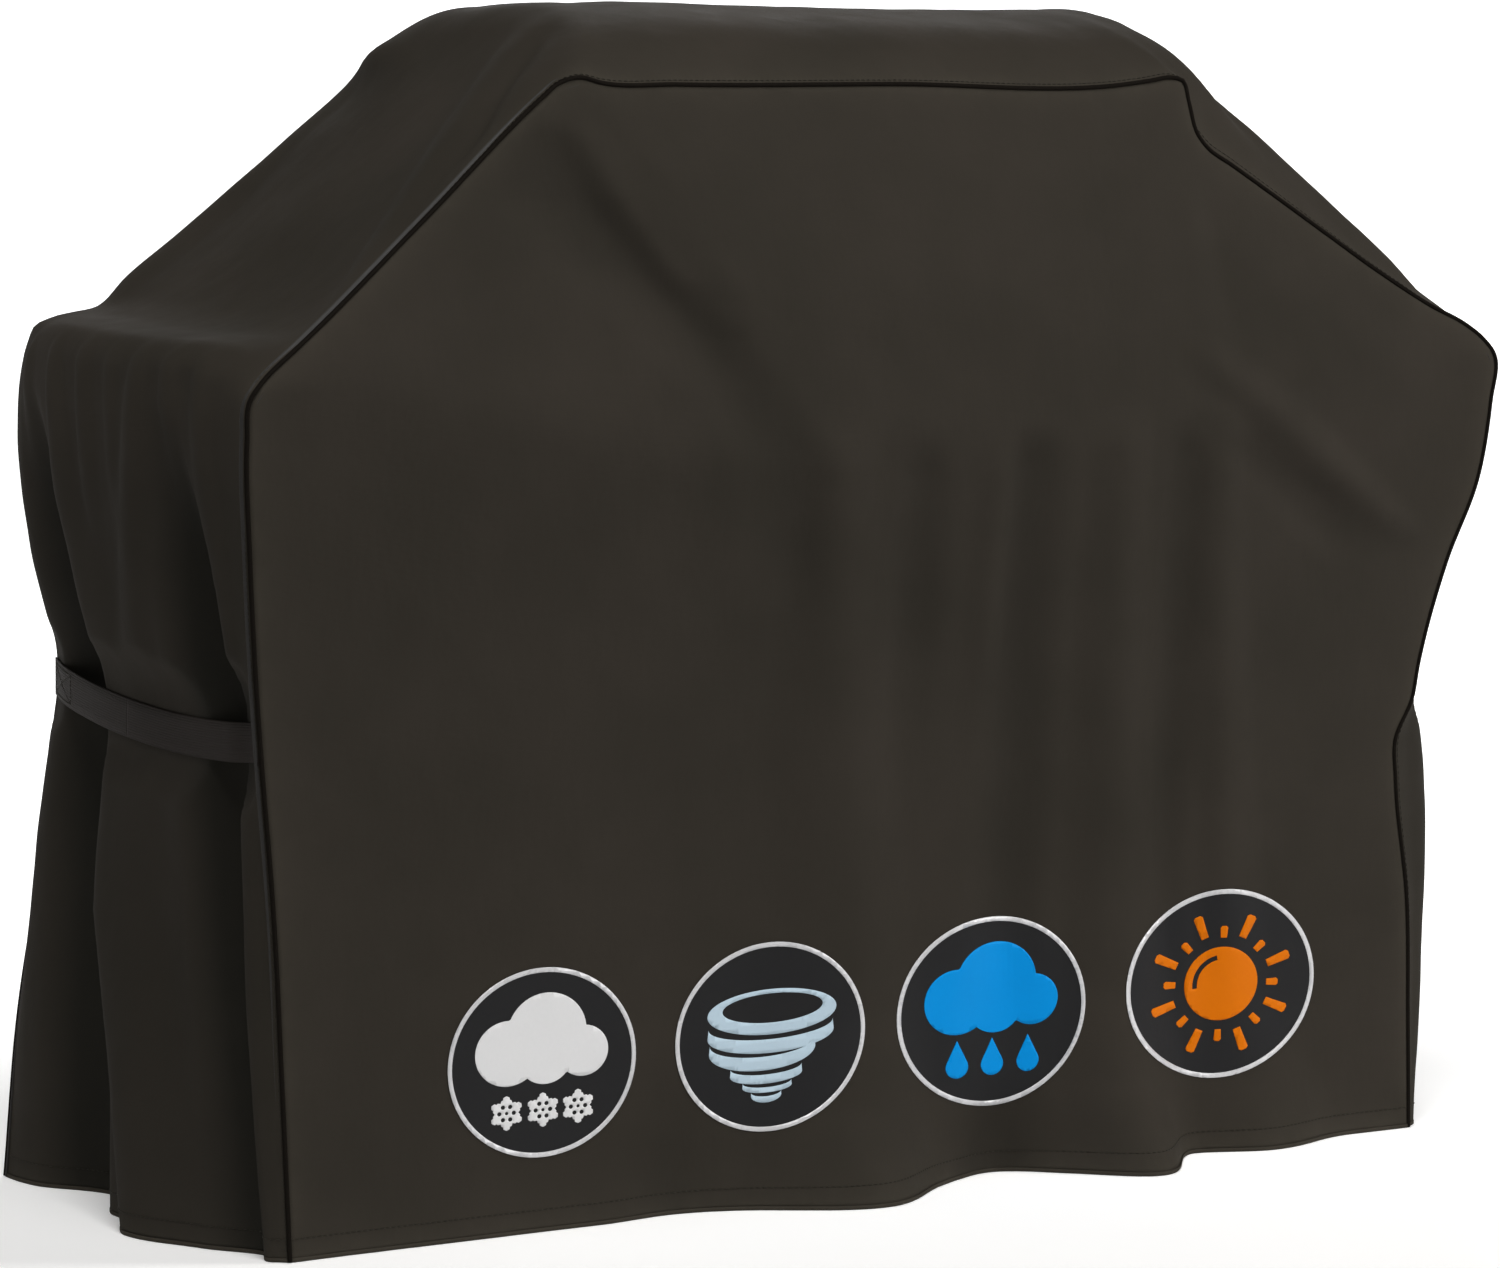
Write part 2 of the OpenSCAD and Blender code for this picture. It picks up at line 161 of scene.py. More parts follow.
# Ridges of the left side: rows of height, place along Y, how far it stands out, and its half widths towards
# the front and the back; and the valleys between them. The right side has the same folds, a little moved.
SIDE_RIDGES = [
    [[855, 82, 0, 18, 18], [820, 82, 7, 26, 24], [700, 72, 10, 46, 38], [600, 40, 13, 80, 40],
        [490, 24, 8, 85, 40],
        [400, 20, 16, 95, 48], [300, 12, 26, 108, 58], [0, -72, 32, 124, 84]],
    [[852, -114, 0, 18, 18], [820, -112, 7, 28, 28], [700, -92, 10, 36, 44], [600, -70, 9, 40, 54],
        [490, -50, 6, 50, 60], [350, -55, 6, 50, 60], [120, -80, 0, 50, 60]],
    [[850, -232, 0, 16, 16], [820, -232, 7, 26, 28], [740, -236, 6, 26, 28], [660, -252, 4, 22, 24],
        [490, -264, 3, 16, 20], [300, -258, 4, 16, 24], [0, -258, 3, 16, 20]],
    [[852, 6, 0, 16, 16], [825, 6, 7, 26, 26], [740, 6, 6, 28, 28], [620, 8, 0, 28, 28]],
    [[850, -54, 0, 14, 14], [825, -54, 4, 20, 20], [740, -54, 3, 22, 22], [660, -54, 0, 22, 22]],
    [[850, -172, 0, 14, 14], [825, -172, 6, 24, 24], [750, -174, 5, 26, 26], [660, -178, 0, 26, 26]],
    [[852, 165, 0, 14, 14], [825, 165, 5, 22, 22], [740, 170, 4, 26, 26], [640, 175, 0, 26, 26]],
]
SIDE_VALLEYS = [
    [[800, 150, 0, 30, 40], [700, 138, -22, 50, 85], [600, 112, -38, 62, 105], [490, 104, -36, 66, 110],
        [300, 110, -36, 70, 105], [0, 118, -38, 90, 100]],
    [[800, -165, 0, 30, 50], [700, -185, -18, 46, 70], [620, -200, -38, 52, 95], [530, -208, -42, 50, 95],
        [480, -208, -40, 50, 90], [380, -208, -38, 44, 84], [250, -212, -32, 38, 80],
        [120, -222, -26, 34, 74],
        [0, -232, -20, 30, 66]],
]

# On the slopes, a ridge and a crease.
SLOPE_FOLDS = [
    [[870, -285, 0, 20, 20], [930, -255, 6, 34, 40], [1040, -196, 9, 50, 50], [1120, -150, 6, 44, 44],
        [1160, -128, 0, 40, 40]],
    [[1000, -262, 0, 20, 20], [1050, -238, -4, 26, 26], [1110, -198, -5, 30, 28], [1155, -170, 0, 26, 26]],
]

# The same for the front panel, with the place along X and half widths to the left and right.
FRONT_RIDGES = [
    [[762, -98, 0, 40, 50], [725, -98, 8, 46, 60], [650, -96, 12, 60, 70], [500, -86, 17, 90, 75],
        [300, -65, 17, 125, 90], [180, -54, 19, 150, 105], [90, -50, 34, 162, 120], [40, -50, 56, 168, 135],
        [0, -50, 76, 170, 145]],
    [[750, 88, 0, 24, 24], [710, 88, 5, 36, 30], [560, 90, 6, 38, 32], [420, 92, 0, 36, 36]],
    [[772, 243, 0, 40, 40], [735, 243, 8, 50, 44], [600, 246, 12, 60, 52], [500, 250, 14, 66, 56],
        [300, 264, 15, 75, 68], [180, 272, 18, 88, 82], [90, 280, 36, 100, 96], [40, 282, 62, 108, 104],
        [0, 282, 86, 112, 108]],
    [[775, 368, 0, 30, 34], [735, 368, 8, 38, 44], [600, 374, 10, 42, 48], [500, 386, 11, 44, 52],
        [250, 415, 8, 46, 60], [60, 440, 0, 50, 60]],
    [[160, 455, 0, 70, 80], [70, 462, 9, 80, 95], [0, 470, 30, 95, 120]],
    [[845, 325, 0, 40, 40], [797, 381, 6, 54, 60], [728, 478, 11, 60, 66], [690, 533, 13, 60, 62],
        [648, 592, 8, 54, 52], [615, 635, 0, 44, 44]],
    [[1084, -385, 0, 20, 20], [1040, -356, 4, 34, 40], [985, -322, 7, 40, 60], [905, -262, 6, 40, 70],
        [850, -220, 0, 40, 66]],
]
FRONT_VALLEYS = [
    [[755, -5, 0, 34, 34], [715, -5, -6, 42, 42], [600, -4, -8, 46, 46], [420, 0, 0, 44, 44]],
    [[757, 125, 0, 36, 46], [720, 125, -8, 40, 56], [600, 126, -12, 46, 60], [300, 135, -10, 60, 60],
        [100, 143, -10, 80, 60], [0, 146, -26, 85, 60]],
    [[766, 318, 0, 28, 26], [730, 318, -6, 34, 32], [600, 319, -7, 36, 34], [400, 330, -7, 36, 34],
        [150, 342, 0, 40, 30]],
    [[180, -250, 0, 60, 60], [0, -252, -9, 80, 70]],
    [[770, 330, 0, 40, 40], [728, 388, -4, 54, 54], [690, 448, -6, 60, 60], [640, 518, -5, 60, 60],
        [600, 572, 0, 44, 44]],
    [[1072, -420, 0, 40, 30], [1040, -405, -5, 70, 50], [985, -380, -9, 95, 60], [920, -330, -9, 95, 60],
        [870, -275, -6, 80, 60], [800, -205, -5, 70, 60], [740, -165, -6, 66, 56], [650, -155, -6, 66, 50],
        [540, -150, 0, 60, 50]],
]

# The back panel's folds, which the photographed side doesn't settle.
BACK_FOLDS = [
    [[740, 60, 0, 40, 40], [500, 56, 10, 70, 100], [300, 52, 19, 90, 130], [140, 50, 34, 115, 150],
        [60, 50, 54, 130, 160], [0, 50, 72, 145, 170]],
    [[760, -270, 0, 30, 30], [500, -272, 10, 50, 60], [300, -276, 18, 68, 75], [140, -280, 36, 88, 92],
        [60, -282, 56, 102, 106], [0, -284, 74, 108, 112]],
    [[720, 290, 0, 40, 40], [450, 296, 9, 60, 60], [200, 300, 12, 70, 70], [0, 305, 26, 90, 80]],
    [[740, -120, 0, 40, 40], [500, -118, -6, 60, 60], [200, -122, -10, 70, 70], [0, -130, -20, 70, 80]],
]

# The line where the front cloth folds over the shelves beside the grill, and how far forward it is there.
SHELF_Z = [[-700, 845], [-600, 820], [-500, 790], [-400, 766], [-300, 750], [-200, 745], [200, 745],
    [350, 752],
    [430, 780], [520, 818], [660, 832], [720, 836]]
SHELF_OUT = [[-700, 318], [-550, 326], [-350, 336], [-180, 347], [100, 349], [300, 346], [500, 334],
    [700, 318]]
HEM_OUT = 274
END_LEAN = 0.165  # how much the front leans back above the shelf line, at the ends and in the middle
MIDDLE_LEAN = 0.095

# The grill's lid under the front cloth: its left and right ends by height, the height and reach of its lower
# edge, and how much it leans back above that.
LID_LEFT = [[700, -200], [885, -225], [1090, -352]]
LID_RIGHT = [[700, 400], [797, 384], [886, 360], [1090, 356]]
LID_Z = 888
LID_OUT = 335
LID_LEAN = 0.25

# The straps' inner faces, from the front seam back: x outward, y, and the height of the middle.
LEFT_STRAP = [[713, -293, 488], [702, -279, 487], [694, -262, 486], [693.7, -200, 482], [693.7, -110, 481],
    [692.8, 0, 487], [683, 100, 495], [664, 190, 502], [645, 242, 505]]
RIGHT_STRAP = [[654, -299, 492], [661, -284, 491], [673, -262, 490], [684, -222, 489], [690, -170, 488],
    [693, -100, 487], [692.8, 0, 487], [690, 100, 489], [684, 190, 490], [676, 242, 490]]

# Each badge's middle (x, z) on the panel and its half width and half height.
BADGES = {"snow": (-401, 165, 105, 91), "tornado": (-140, 167, 111, 93), "rain": (125, 170, 116, 95),
    "sun": (413, 174, 121, 97)}


# ------------------------------------------------------------------ numbers
def mm(values):
    return np.asarray(values, float) / 1000


def spline(values, knots, at):
    """Reads a smooth curve that passes through values, which lie at knots along the first axis."""
    v = np.asarray(values, float)
    k = np.asarray(knots, float)
    at = np.asarray(at, float)
    tail = (1,) * (v.ndim - 1)
    h = np.diff(k).reshape(-1, *tail)
    d = np.diff(v, axis=0) / h
    m = np.empty_like(v)
    m[0], m[-1] = d[0], d[-1]
    m[1:-1] = (d[:-1] * h[1:] + d[1:] * h[:-1]) / (h[:-1] + h[1:])
    i = np.clip(np.searchsorted(k, at, side="right") - 1, 0, len(k) - 2)
    hi = h[i]
    t = ((at - k[i]) / np.diff(k)[i]).reshape(-1, *tail)
    return (
        (2 * t**3 - 3 * t**2 + 1) * v[i]
        + (t**3 - 2 * t**2 + t) * hi * m[i]
        + (3 * t**2 - 2 * t**3) * v[i + 1]
        + (t**3 - t**2) * hi * m[i + 1]
    )


def arc_length(points):
    return np.concatenate([[0], np.cumsum(np.linalg.norm(np.diff(points, axis=0), axis=1))])


def resample(points, count):
    """count + 1 points at equal steps along a dense polyline."""
    s = arc_length(points)
    at = np.linspace(0, s[-1], count + 1)
    return np.stack([np.interp(at, s, points[:, c]) for c in range(points.shape[1])], axis=1)


def look(table, at):
    """Reads a table of (place, value) rows in millimetres."""
    t = np.asarray(table, float) / 1000
    return np.interp(at, t[:, 0], t[:, 1])


def bell(t):
    """1 at t = 0, falling to 0 at -1 and 1."""
    return np.where(np.abs(t) < 1, 0.5 + 0.5 * np.cos(np.pi * np.clip(t, -1, 1)), 0)


def smooth(t):
    t = np.clip(t, 0, 1)
    return t * t * (3 - 2 * t)


def soft_min(a, b, r):
    """The smaller of a and b, rounded over r where they meet."""
    return 0.5 * (a + b - np.sqrt((a - b) ** 2 + r * r))


def folds(rows_list, across, z):
    """How far the folds stand out at places across and heights z."""
    out = np.zeros_like(z)
    for rows in rows_list:
        r = mm(sorted(rows))
        centre, height, low, high = (np.interp(z, r[:, 0], r[:, c]) for c in (1, 2, 3, 4))
        d = across - centre
        out += height * bell(d / np.where(d < 0, low, high)) * (z <= r[-1, 0]) * (z >= r[0, 0] - 1e-6)
    return out


def ripple(points, scale, seed, stretch=(1, 1, 1)):
    """Smooth noise at each point of a grid."""
    flat = points.reshape(-1, 3) * np.asarray(stretch) * scale + seed
    return np.array([noise.noise(Vector(p)) for p in flat]).reshape(points.shape[:-1])


def unit(vectors):
    return vectors / np.maximum(np.linalg.norm(vectors, axis=-1, keepdims=True), 1e-12)


def out_of_strip(grid):
    """Unit normals of the side and roof strip, away from the grill."""
    n = unit(np.cross(np.gradient(grid, axis=1), np.gradient(grid, axis=0)))
    return n if n[grid.shape[0] // 2, COLUMNS // 2, 2] > 0 else -n


def tangents(path):
    """Unit tangents of a path."""
    return unit(np.gradient(path, axis=0))


def grid_uv(across, along):
    """(u, v) of a grid's points, from the u of its columns and the v of its rows."""
    return np.stack(np.broadcast_arrays(across, along), axis=-1)


def distance_to(points, line):
    """Distance from each (x, z) of points to a polyline."""
    best = np.full(points.shape[:-1], np.inf)
    for a, b in zip(line[:-1], line[1:]):
        ab = b - a
        t = np.clip(((points - a) @ ab) / max(ab @ ab, 1e-12), 0, 1)
        best = np.minimum(best, np.linalg.norm(points - a - t[..., None] * ab, axis=-1))
    return best


# ------------------------------------------------------------------ meshes
def mesh_piece(name, vertices, faces, materials):
    """An object from vertices and faces."""
    mesh = bpy.data.meshes.new(name)
    mesh.from_pydata([tuple(v) for v in np.asarray(vertices, float)], [], [tuple(f) for f in faces])
    mesh.update()
    for m in materials:
        mesh.materials.append(m)
    return linked(name, mesh)


def linked(name, mesh):
    """A smooth-shaded object for a mesh."""
    mesh.polygons.foreach_set("use_smooth", [True] * len(mesh.polygons))
    piece = bpy.data.objects.new(name, mesh)
    bpy.context.collection.objects.link(piece)
    return piece


def quads(rows, columns, closed=False):
    """Faces of a grid of rows x columns points. A closed grid joins its last column to its first."""
    i = np.arange(rows - 1)[:, None] * columns
    j = np.arange(columns if closed else columns - 1)[None, :]
    k = (j + 1) % columns
    a, b, c, d = i + j, i + k, i + columns + k, i + columns + j
    return np.stack([a, b, c, d], axis=-1).reshape(-1, 4)


def tube_faces(rings, sides, base=0):
    """Faces of a tube of rings x sides points, closed at both ends."""
    last = base + (rings - 1) * sides
    faces = [tuple(f + base) for f in quads(rings, sides, closed=True)]
    return faces + [tuple(range(base, base + sides))[::-1], tuple(range(last, last + sides))]


def solid_piece(name, points, faces, material):
    """A closed piece, its faces turned outward."""
    piece = mesh_piece(name, points.reshape(-1, 3), faces, [material])
    bm = bmesh.new()
    bm.from_mesh(piece.data)
    bmesh.ops.recalc_face_normals(bm, faces=bm.faces)
    bm.to_mesh(piece.data)
    bm.free()
    return piece


def add_uv(piece, uv):
    """Gives a piece the (u, v) of each of its vertices."""
    data = piece.data
    index = np.empty(len(data.loops), int)
    data.loops.foreach_get("vertex_index", index)
    flat = np.asarray(uv, float).reshape(-1, 2)
    data.uv_layers.new(name="UVMap").data.foreach_set("uv", flat[index].ravel())


def add_value(piece, name, values):
    attribute = piece.data.attributes.new(name, "FLOAT", "POINT")
    attribute.data.foreach_set("value", np.asarray(values, np.float32).ravel())


def thicken(piece, thickness, offset=-1.0, inner=0):
    """Gives a sheet its thickness. Its inner side takes the material that many slots further on."""
    mod = piece.modifiers.new("thickness", "SOLIDIFY")
    mod.thickness = thickness
    mod.offset = offset
    mod.use_even_offset = False
    mod.material_offset = inner


def cloth_piece(name, grid, outward, materials, wear, painted_shade):
    """A sheet of cloth from a grid of points, its faces turned towards outward."""
    rows, columns = grid.shape[:2]
    faces = quads(rows, columns)
    a = grid.reshape(-1, 3)
    middle = faces[(rows // 2) * (columns - 1) + columns // 2]
    if np.cross(a[middle[1]] - a[middle[0]], a[middle[2]] - a[middle[0]]) @ np.asarray(outward) < 0:
        faces = faces[:, ::-1]
    piece = mesh_piece(name, a, faces, materials)
    along = np.cumsum(np.linalg.norm(np.diff(grid, axis=0, prepend=grid[:1]), axis=-1), axis=0)
    across = np.cumsum(np.linalg.norm(np.diff(grid, axis=1, prepend=grid[:, :1]), axis=-1), axis=1)
    add_uv(piece, np.stack([across - across[:, -1:] / 2, along], axis=-1))
    add_value(piece, "wear", wear)
    # Per vertex: how much painted shade the cloth gets in its folds.
    add_value(piece, "painted_shade", painted_shade)
    thicken(piece, CLOTH_T, inner=1)
    return piece


def ring_points(path, side, up, radius, sides):
    """Circles of points round a path, and their angles."""
    angle = np.linspace(0, 2 * np.pi, sides, endpoint=False)
    ring = np.cos(angle)[None, :, None] * side[:, None] + np.sin(angle)[None, :, None] * up[:, None]
    return path[:, None] + radius * ring, angle


def cord(name, path, radius, sides, material):
    """A round cord along a path, closed at both ends."""
    t = tangents(path)
    side = unit(np.cross(t, [0.0, 1.0, 0.0]))
    points, angle = ring_points(path, side, np.cross(side, t), radius, sides)
    points[..., 2] = np.maximum(points[..., 2], TRIM_LOW)
    piece = solid_piece(name, points, tube_faces(len(path), sides), material)
    add_uv(piece, grid_uv(angle[None, :] * radius, arc_length(path)[:, None]))
    return piece


def stitches(name, path, out, pitch, length, radius, lift):
    """A row of sewn stitches along a path, each a bulge of thread that dips into the cloth at its ends."""
    s = arc_length(path)
    count = int(s[-1] / pitch)
    starts = np.arange(count) * pitch + 0.5 * (s[-1] - count * pitch)
    steps = np.array([0.0, 0.2, 0.5, 0.8, 1.0])
    rise = np.array([-0.8, 0.5, 1.0, 0.5, -0.8])
    sides = 5
    at = (starts[:, None] + steps[None, :] * length).ravel()
    centre, normal, tangent = (
        np.stack([np.interp(at, s, line[:, c]) for c in range(3)], axis=1)
        for line in (path, out, tangents(path))
    )
    normal = unit(normal)
    across = unit(np.cross(normal, tangent))
    centre = centre + normal * (lift * np.tile(rise, count))[:, None]
    points, _ = ring_points(centre, across, normal, radius, sides)
    size = len(steps) * sides
    faces = [f for k in range(count) for f in tube_faces(len(steps), sides, k * size)]
    return solid_piece(name, points, faces, THREAD)


def carried(piece, slot, body, *nodes):
    """Hides the CAD nodes a piece takes the place of, and hangs the piece on the body that carries it. slot
    is not used.
    """
    if nodes:
        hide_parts(*nodes)
    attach(piece, body)


# ------------------------------------------------------------------ materials
def srgb(r, g, b):
    """A colour given as 0..255 sRGB, for a shader socket."""
    c = np.array([r, g, b], float) / 255
    return (*np.where(c <= 0.04045, c / 12.92, ((c + 0.055) / 1.055) ** 2.4), 1.0)


WEAVE = 0.0011  # distance between the cloth's threads, as two of them show


class Nodes:
    """Short names for building a material's nodes."""

    def __init__(self, name):
        self.material = bpy.data.materials.new(name)
        self.material.use_nodes = True
        self.tree = self.material.node_tree
        self.shader = self.tree.nodes["Principled BSDF"]

    def add(self, kind, inputs=None, **settings):
        node = self.tree.nodes.new(kind)
        for key, value in settings.items():
            setattr(node, key, value)
        for key, value in (inputs or {}).items():
            if isinstance(value, bpy.types.NodeSocket):
                self.tree.links.new(value, node.inputs[key])
            else:
                node.inputs[key].default_value = value
        return node

    def math(self, operation, a, b, clamp=False):
        return self.add("ShaderNodeMath", {0: a, 1: b}, operation=operation, use_clamp=clamp).outputs[0]

    def uv(self, scale=(1, 1, 1)):
        source = self.add("ShaderNodeUVMap", uv_map="UVMap").outputs["UV"]
        return self.add("ShaderNodeMapping", {"Vector": source, "Scale": scale}).outputs[0]

    def place(self, scale=(1, 1, 1)):
        source = self.add("ShaderNodeTexCoord").outputs["Object"]
        return self.add("ShaderNodeMapping", {"Vector": source, "Scale": scale}).outputs[0]

    def noise(self, vector, scale, detail=3.0, rough=0.55):
        inputs = {"Vector": vector, "Scale": scale, "Detail": detail, "Roughness": rough}
        return self.add("ShaderNodeTexNoise", inputs).outputs[0]

    def wave(self, vector, period, direction):
        """Bands of the given period in metres."""
        inputs = {"Vector": vector, "Scale": math.pi / 10 / period}
        return self.add("ShaderNodeTexWave", inputs, bands_direction=direction).outputs["Fac"]

    def weave(self, vector, period, down="Y"):
        """Bands both ways: across, and down the given axis."""
        return self.math("MULTIPLY", self.wave(vector, period, "X"), self.wave(vector, period, down))

    def ramp(self, value, stops):
        node = self.add("ShaderNodeValToRGB", {0: value})
        while len(node.color_ramp.elements) < len(stops):
            node.color_ramp.elements.new(0.5)
        for element, (at, colour) in zip(node.color_ramp.elements, stops):
            element.position = at
            element.color = colour
        return node.outputs[0]

    def spread(self, value, low, high):
        """Maps 0..1 to low..high."""
        return self.add("ShaderNodeMapRange", {"Value": value, "To Min": low, "To Max": high}).outputs[0]

    def rise(self, value, start, end, low, high):
        """Maps start..end to low..high, easing in and out."""
        inputs = {"Value": value, "From Min": start, "From Max": end, "To Min": low, "To Max": high}
        return self.add("ShaderNodeMapRange", inputs, interpolation_type="SMOOTHSTEP").outputs[0]

    def mix(self, factor, a, b):
        node = self.add("ShaderNodeMix", data_type="RGBA")
        for key, value in (("Factor", factor), ("A", a), ("B", b)):
            socket = next(s for s in node.inputs if s.name == key and s.enabled)
            if isinstance(value, bpy.types.NodeSocket):
                self.tree.links.new(value, socket)
            else:
                socket.default_value = value
        return next(s for s in node.outputs if s.enabled)

    def bump(self, height, distance, strength=1.0, normal=None):
        inputs = {"Height": height, "Distance": distance, "Strength": strength}
        if normal is not None:
            inputs["Normal"] = normal
        return self.add("ShaderNodeBump", inputs).outputs[0]

    def finish(self, colour, roughness, normal=None, **constants):
        for key, value in (("Base Color", colour), ("Roughness", roughness), ("Normal", normal)):
            if value is None:
                continue
            if isinstance(value, bpy.types.NodeSocket):
                self.tree.links.new(value, self.shader.inputs[key])
            else:
                self.shader.inputs[key].default_value = value
        for key, value in constants.items():
            self.shader.inputs[key.replace("_", " ")].default_value = value
        return self.material


def cover_cloth(name):
    """Matt woven polyester: faint cloudiness, rub marks near hems and seams, and painted shade that darkens
    the cloth in its fold valleys and on the sides below the shelves.
    """
    n = Nodes(name)
    fibre = n.noise(n.uv((900, 900, 900)), 1.0, 2.0, 0.6)
    weave = n.math("ADD", n.weave(n.uv(), WEAVE), n.math("MULTIPLY", fibre, 0.5))
    slub = n.noise(n.uv((25, 420, 1)), 1.0, 2.0)
    cloud = n.noise(n.place(), 4.5, 4.0, 0.55)
    colour = n.ramp(cloud, [(0.36, srgb(44, 41, 36)), (0.64, srgb(50, 46, 41))])
    grain = n.noise(n.uv((700, 700, 700)), 1.0, 3.0, 0.7)
    colour = n.mix(n.spread(grain, 0.0, 0.35), colour, srgb(58, 54, 48))
    colour = n.mix(n.spread(slub, 0.0, 0.14), colour, srgb(34, 31, 27))
    wear = n.add("ShaderNodeAttribute", attribute_name="wear").outputs["Fac"]
    rub = n.math("MULTIPLY", wear, n.spread(n.noise(n.place(), 38.0, 5.0, 0.65), 0.05, 0.6), clamp=True)
    colour = n.mix(rub, colour, srgb(70, 66, 58))
    # Painted shade: the colour is pulled towards near black where the per-vertex shade value marks fold
    # valleys and the side cloth below the shelf.
    painted_shade = n.add("ShaderNodeAttribute", attribute_name="painted_shade").outputs["Fac"]
    shade_amount = n.math("MULTIPLY", painted_shade, n.spread(n.noise(n.place(), 12.0, 3.0), 0.62, 0.9), clamp=True)
    colour = n.mix(shade_amount, colour, srgb(25, 25, 22))
    crinkle = n.noise(n.place((1, 1, 0.55)), 16.0, 4.0, 0.5)
    normal = n.bump(crinkle, 0.0035, 0.55)
    normal = n.bump(weave, 0.0003, 0.3, normal)
    rough = n.spread(n.noise(n.place(), 30.0, 3.0), 0.72, 0.92)
    return n.finish(colour, rough, normal, Specular_IOR_Level=0.03)


def coating(name):
    """The waterproof coat inside the cloth."""
    n = Nodes(name)
    weave = n.weave(n.uv(), WEAVE)
    patch = n.noise(n.place(), 9.0, 4.0)
    colour = n.ramp(patch, [(0.35, srgb(34, 34, 35)), (0.65, srgb(44, 44, 46))])
    normal = n.bump(weave, 0.0002, 0.35, n.bump(n.noise(n.place(), 60.0, 3.0), 0.0012, 0.5))
    return n.finish(colour, n.spread(patch, 0.38, 0.55), normal, Specular_IOR_Level=0.4)


def piping_cloth(name):
    """Dark bias binding wrapped round the seam cord."""
    n = Nodes(name)
    uv = n.uv()
    twill = n.wave(uv, 0.0012, "DIAGONAL")
    colour = n.mix(n.noise(n.uv((300, 300, 1)), 1.0, 3.0), srgb(18, 16, 14), srgb(27, 24, 21))
    return n.finish(colour, n.spread(n.noise(uv, 120.0, 2.0), 0.85, 1.0), n.bump(twill, 0.0002, 0.5),
        Specular_IOR_Level=0.0)


def webbing(name):
    """Polypropylene webbing: ribs along the strap and a fine cross weave."""
    n = Nodes(name)
    uv = n.uv()
    rib = n.wave(uv, 0.0024, "X")
    pick = n.wave(uv, 0.0016, "Y")
    height = n.math("ADD", rib, n.math("MULTIPLY", pick, 0.5))
    tone = n.noise(n.uv((60, 900, 1)), 1.0, 3.0)
    colour = n.mix(n.spread(tone, 0.0, 1.0), srgb(29, 25, 22), srgb(40, 34, 30))
    colour = n.mix(n.spread(rib, 0.0, 0.25), colour, srgb(20, 17, 15))
    return n.finish(colour, n.spread(tone, 0.6, 0.8), n.bump(height, 0.0004, 0.6), Specular_IOR_Level=0.08)


def tape(name):
    n = Nodes(name)
    weave = n.weave(n.uv(), 0.0014)
    colour = n.mix(n.noise(n.uv((400, 60, 1)), 1.0, 3.0), srgb(28, 27, 26), srgb(44, 42, 40))
    return n.finish(colour, n.spread(weave, 0.5, 0.7), n.bump(weave, 0.0003, 0.6), Specular_IOR_Level=0.35)


def fastener(name, dark, light, scale):
    """Hook-and-loop: a fuzzy or bristly face."""
    n = Nodes(name)
    fuzz = n.add("ShaderNodeTexVoronoi", {"Vector": n.place(), "Scale": scale}).outputs["Distance"]
    tone = n.noise(n.place(), scale * 0.4, 4.0, 0.7)
    colour = n.mix(tone, dark, light)
    return n.finish(colour, n.spread(tone, 0.8, 0.95), n.bump(fuzz, 0.0009, 0.8), Specular_IOR_Level=0.2)


def thread(name):
    n = Nodes(name)
    ply = n.noise(n.place(), 1800.0, 2.0, 0.5)
    colour = n.mix(ply, srgb(34, 32, 27), srgb(50, 47, 40))
    return n.finish(colour, n.spread(ply, 0.45, 0.7), n.bump(ply, 0.0002, 0.6), Specular_IOR_Level=0.1)


def print_film(name, colour, shade, rough=0.45, metal=0.0):
    """Heat-pressed print on the cloth: the weave shows through faintly, and the ink is a little uneven."""
    n = Nodes(name)
    place = n.place()
    weave = n.weave(place, WEAVE, "Z")
    ink = n.noise(place, 260.0, 4.0, 0.65)
    patch = n.noise(place, 18.0, 3.0)
    tone = n.mix(n.spread(ink, 0.0, 0.35), colour, shade)
    tone = n.mix(n.spread(patch, 0.0, 0.2), tone, shade)
    return n.finish(tone, n.spread(ink, rough - 0.08, rough + 0.12), n.bump(weave, 0.00012, 0.4),
        Specular_IOR_Level=0.05, Metallic=metal)


CLOTH = cover_cloth("cover_cloth")
COAT = coating("cloth_coating")
PIPING = piping_cloth("piping")
WEBBING = webbing("webbing")
TAPE = tape("seam_tape")
LOOPS = fastener("loop_tape", srgb(22, 21, 20), srgb(52, 49, 46), 900.0)
HOOKS = fastener("hook_tape", srgb(14, 14, 14), srgb(40, 39, 38), 1200.0)
THREAD = thread("thread")
BLACK = print_film("badge_black", srgb(37, 37, 38), srgb(31, 31, 32), 0.6)
SILVER = print_film("badge_silver", srgb(208, 208, 210), srgb(170, 170, 174), 0.38, 0.25)
SNOW = print_film("print_snow", srgb(216, 216, 217), srgb(196, 197, 199))
WIND = print_film("print_wind", srgb(180, 200, 213), srgb(160, 181, 196))
RAIN = print_film("print_rain", srgb(0, 138, 213), srgb(0, 122, 194))
SUN = print_film("print_sun", srgb(208, 108, 0), srgb(188, 94, 0))


# ------------------------------------------------------------------ side, slope and roof strip
LEFT_ROWS = slice(0, SIDE_ROWS + 1)
RIGHT_ROWS = slice(-SIDE_ROWS - 1, None)


def section_rows(stretches):
    """One cross-section as rows of (x, z): smooth all the way, with a fixed count of rows on each stretch."""
    corners = mm([p for s in stretches for p in s])
    knots = arc_length(corners)
    ends = np.cumsum([len(s) for s in stretches]) - 1
    counts = [SIDE_ROWS, SLOPE_ROWS, ROOF_ROWS, SLOPE_ROWS, SIDE_ROWS]
    rows = []
    start = 0
    for end, count in zip(ends, counts):
        dense = spline(corners, knots, np.linspace(knots[start], knots[end], 600))
        rows.append(resample(dense, count)[(1 if rows else 0):])
        start = end
    return np.concatenate(rows)


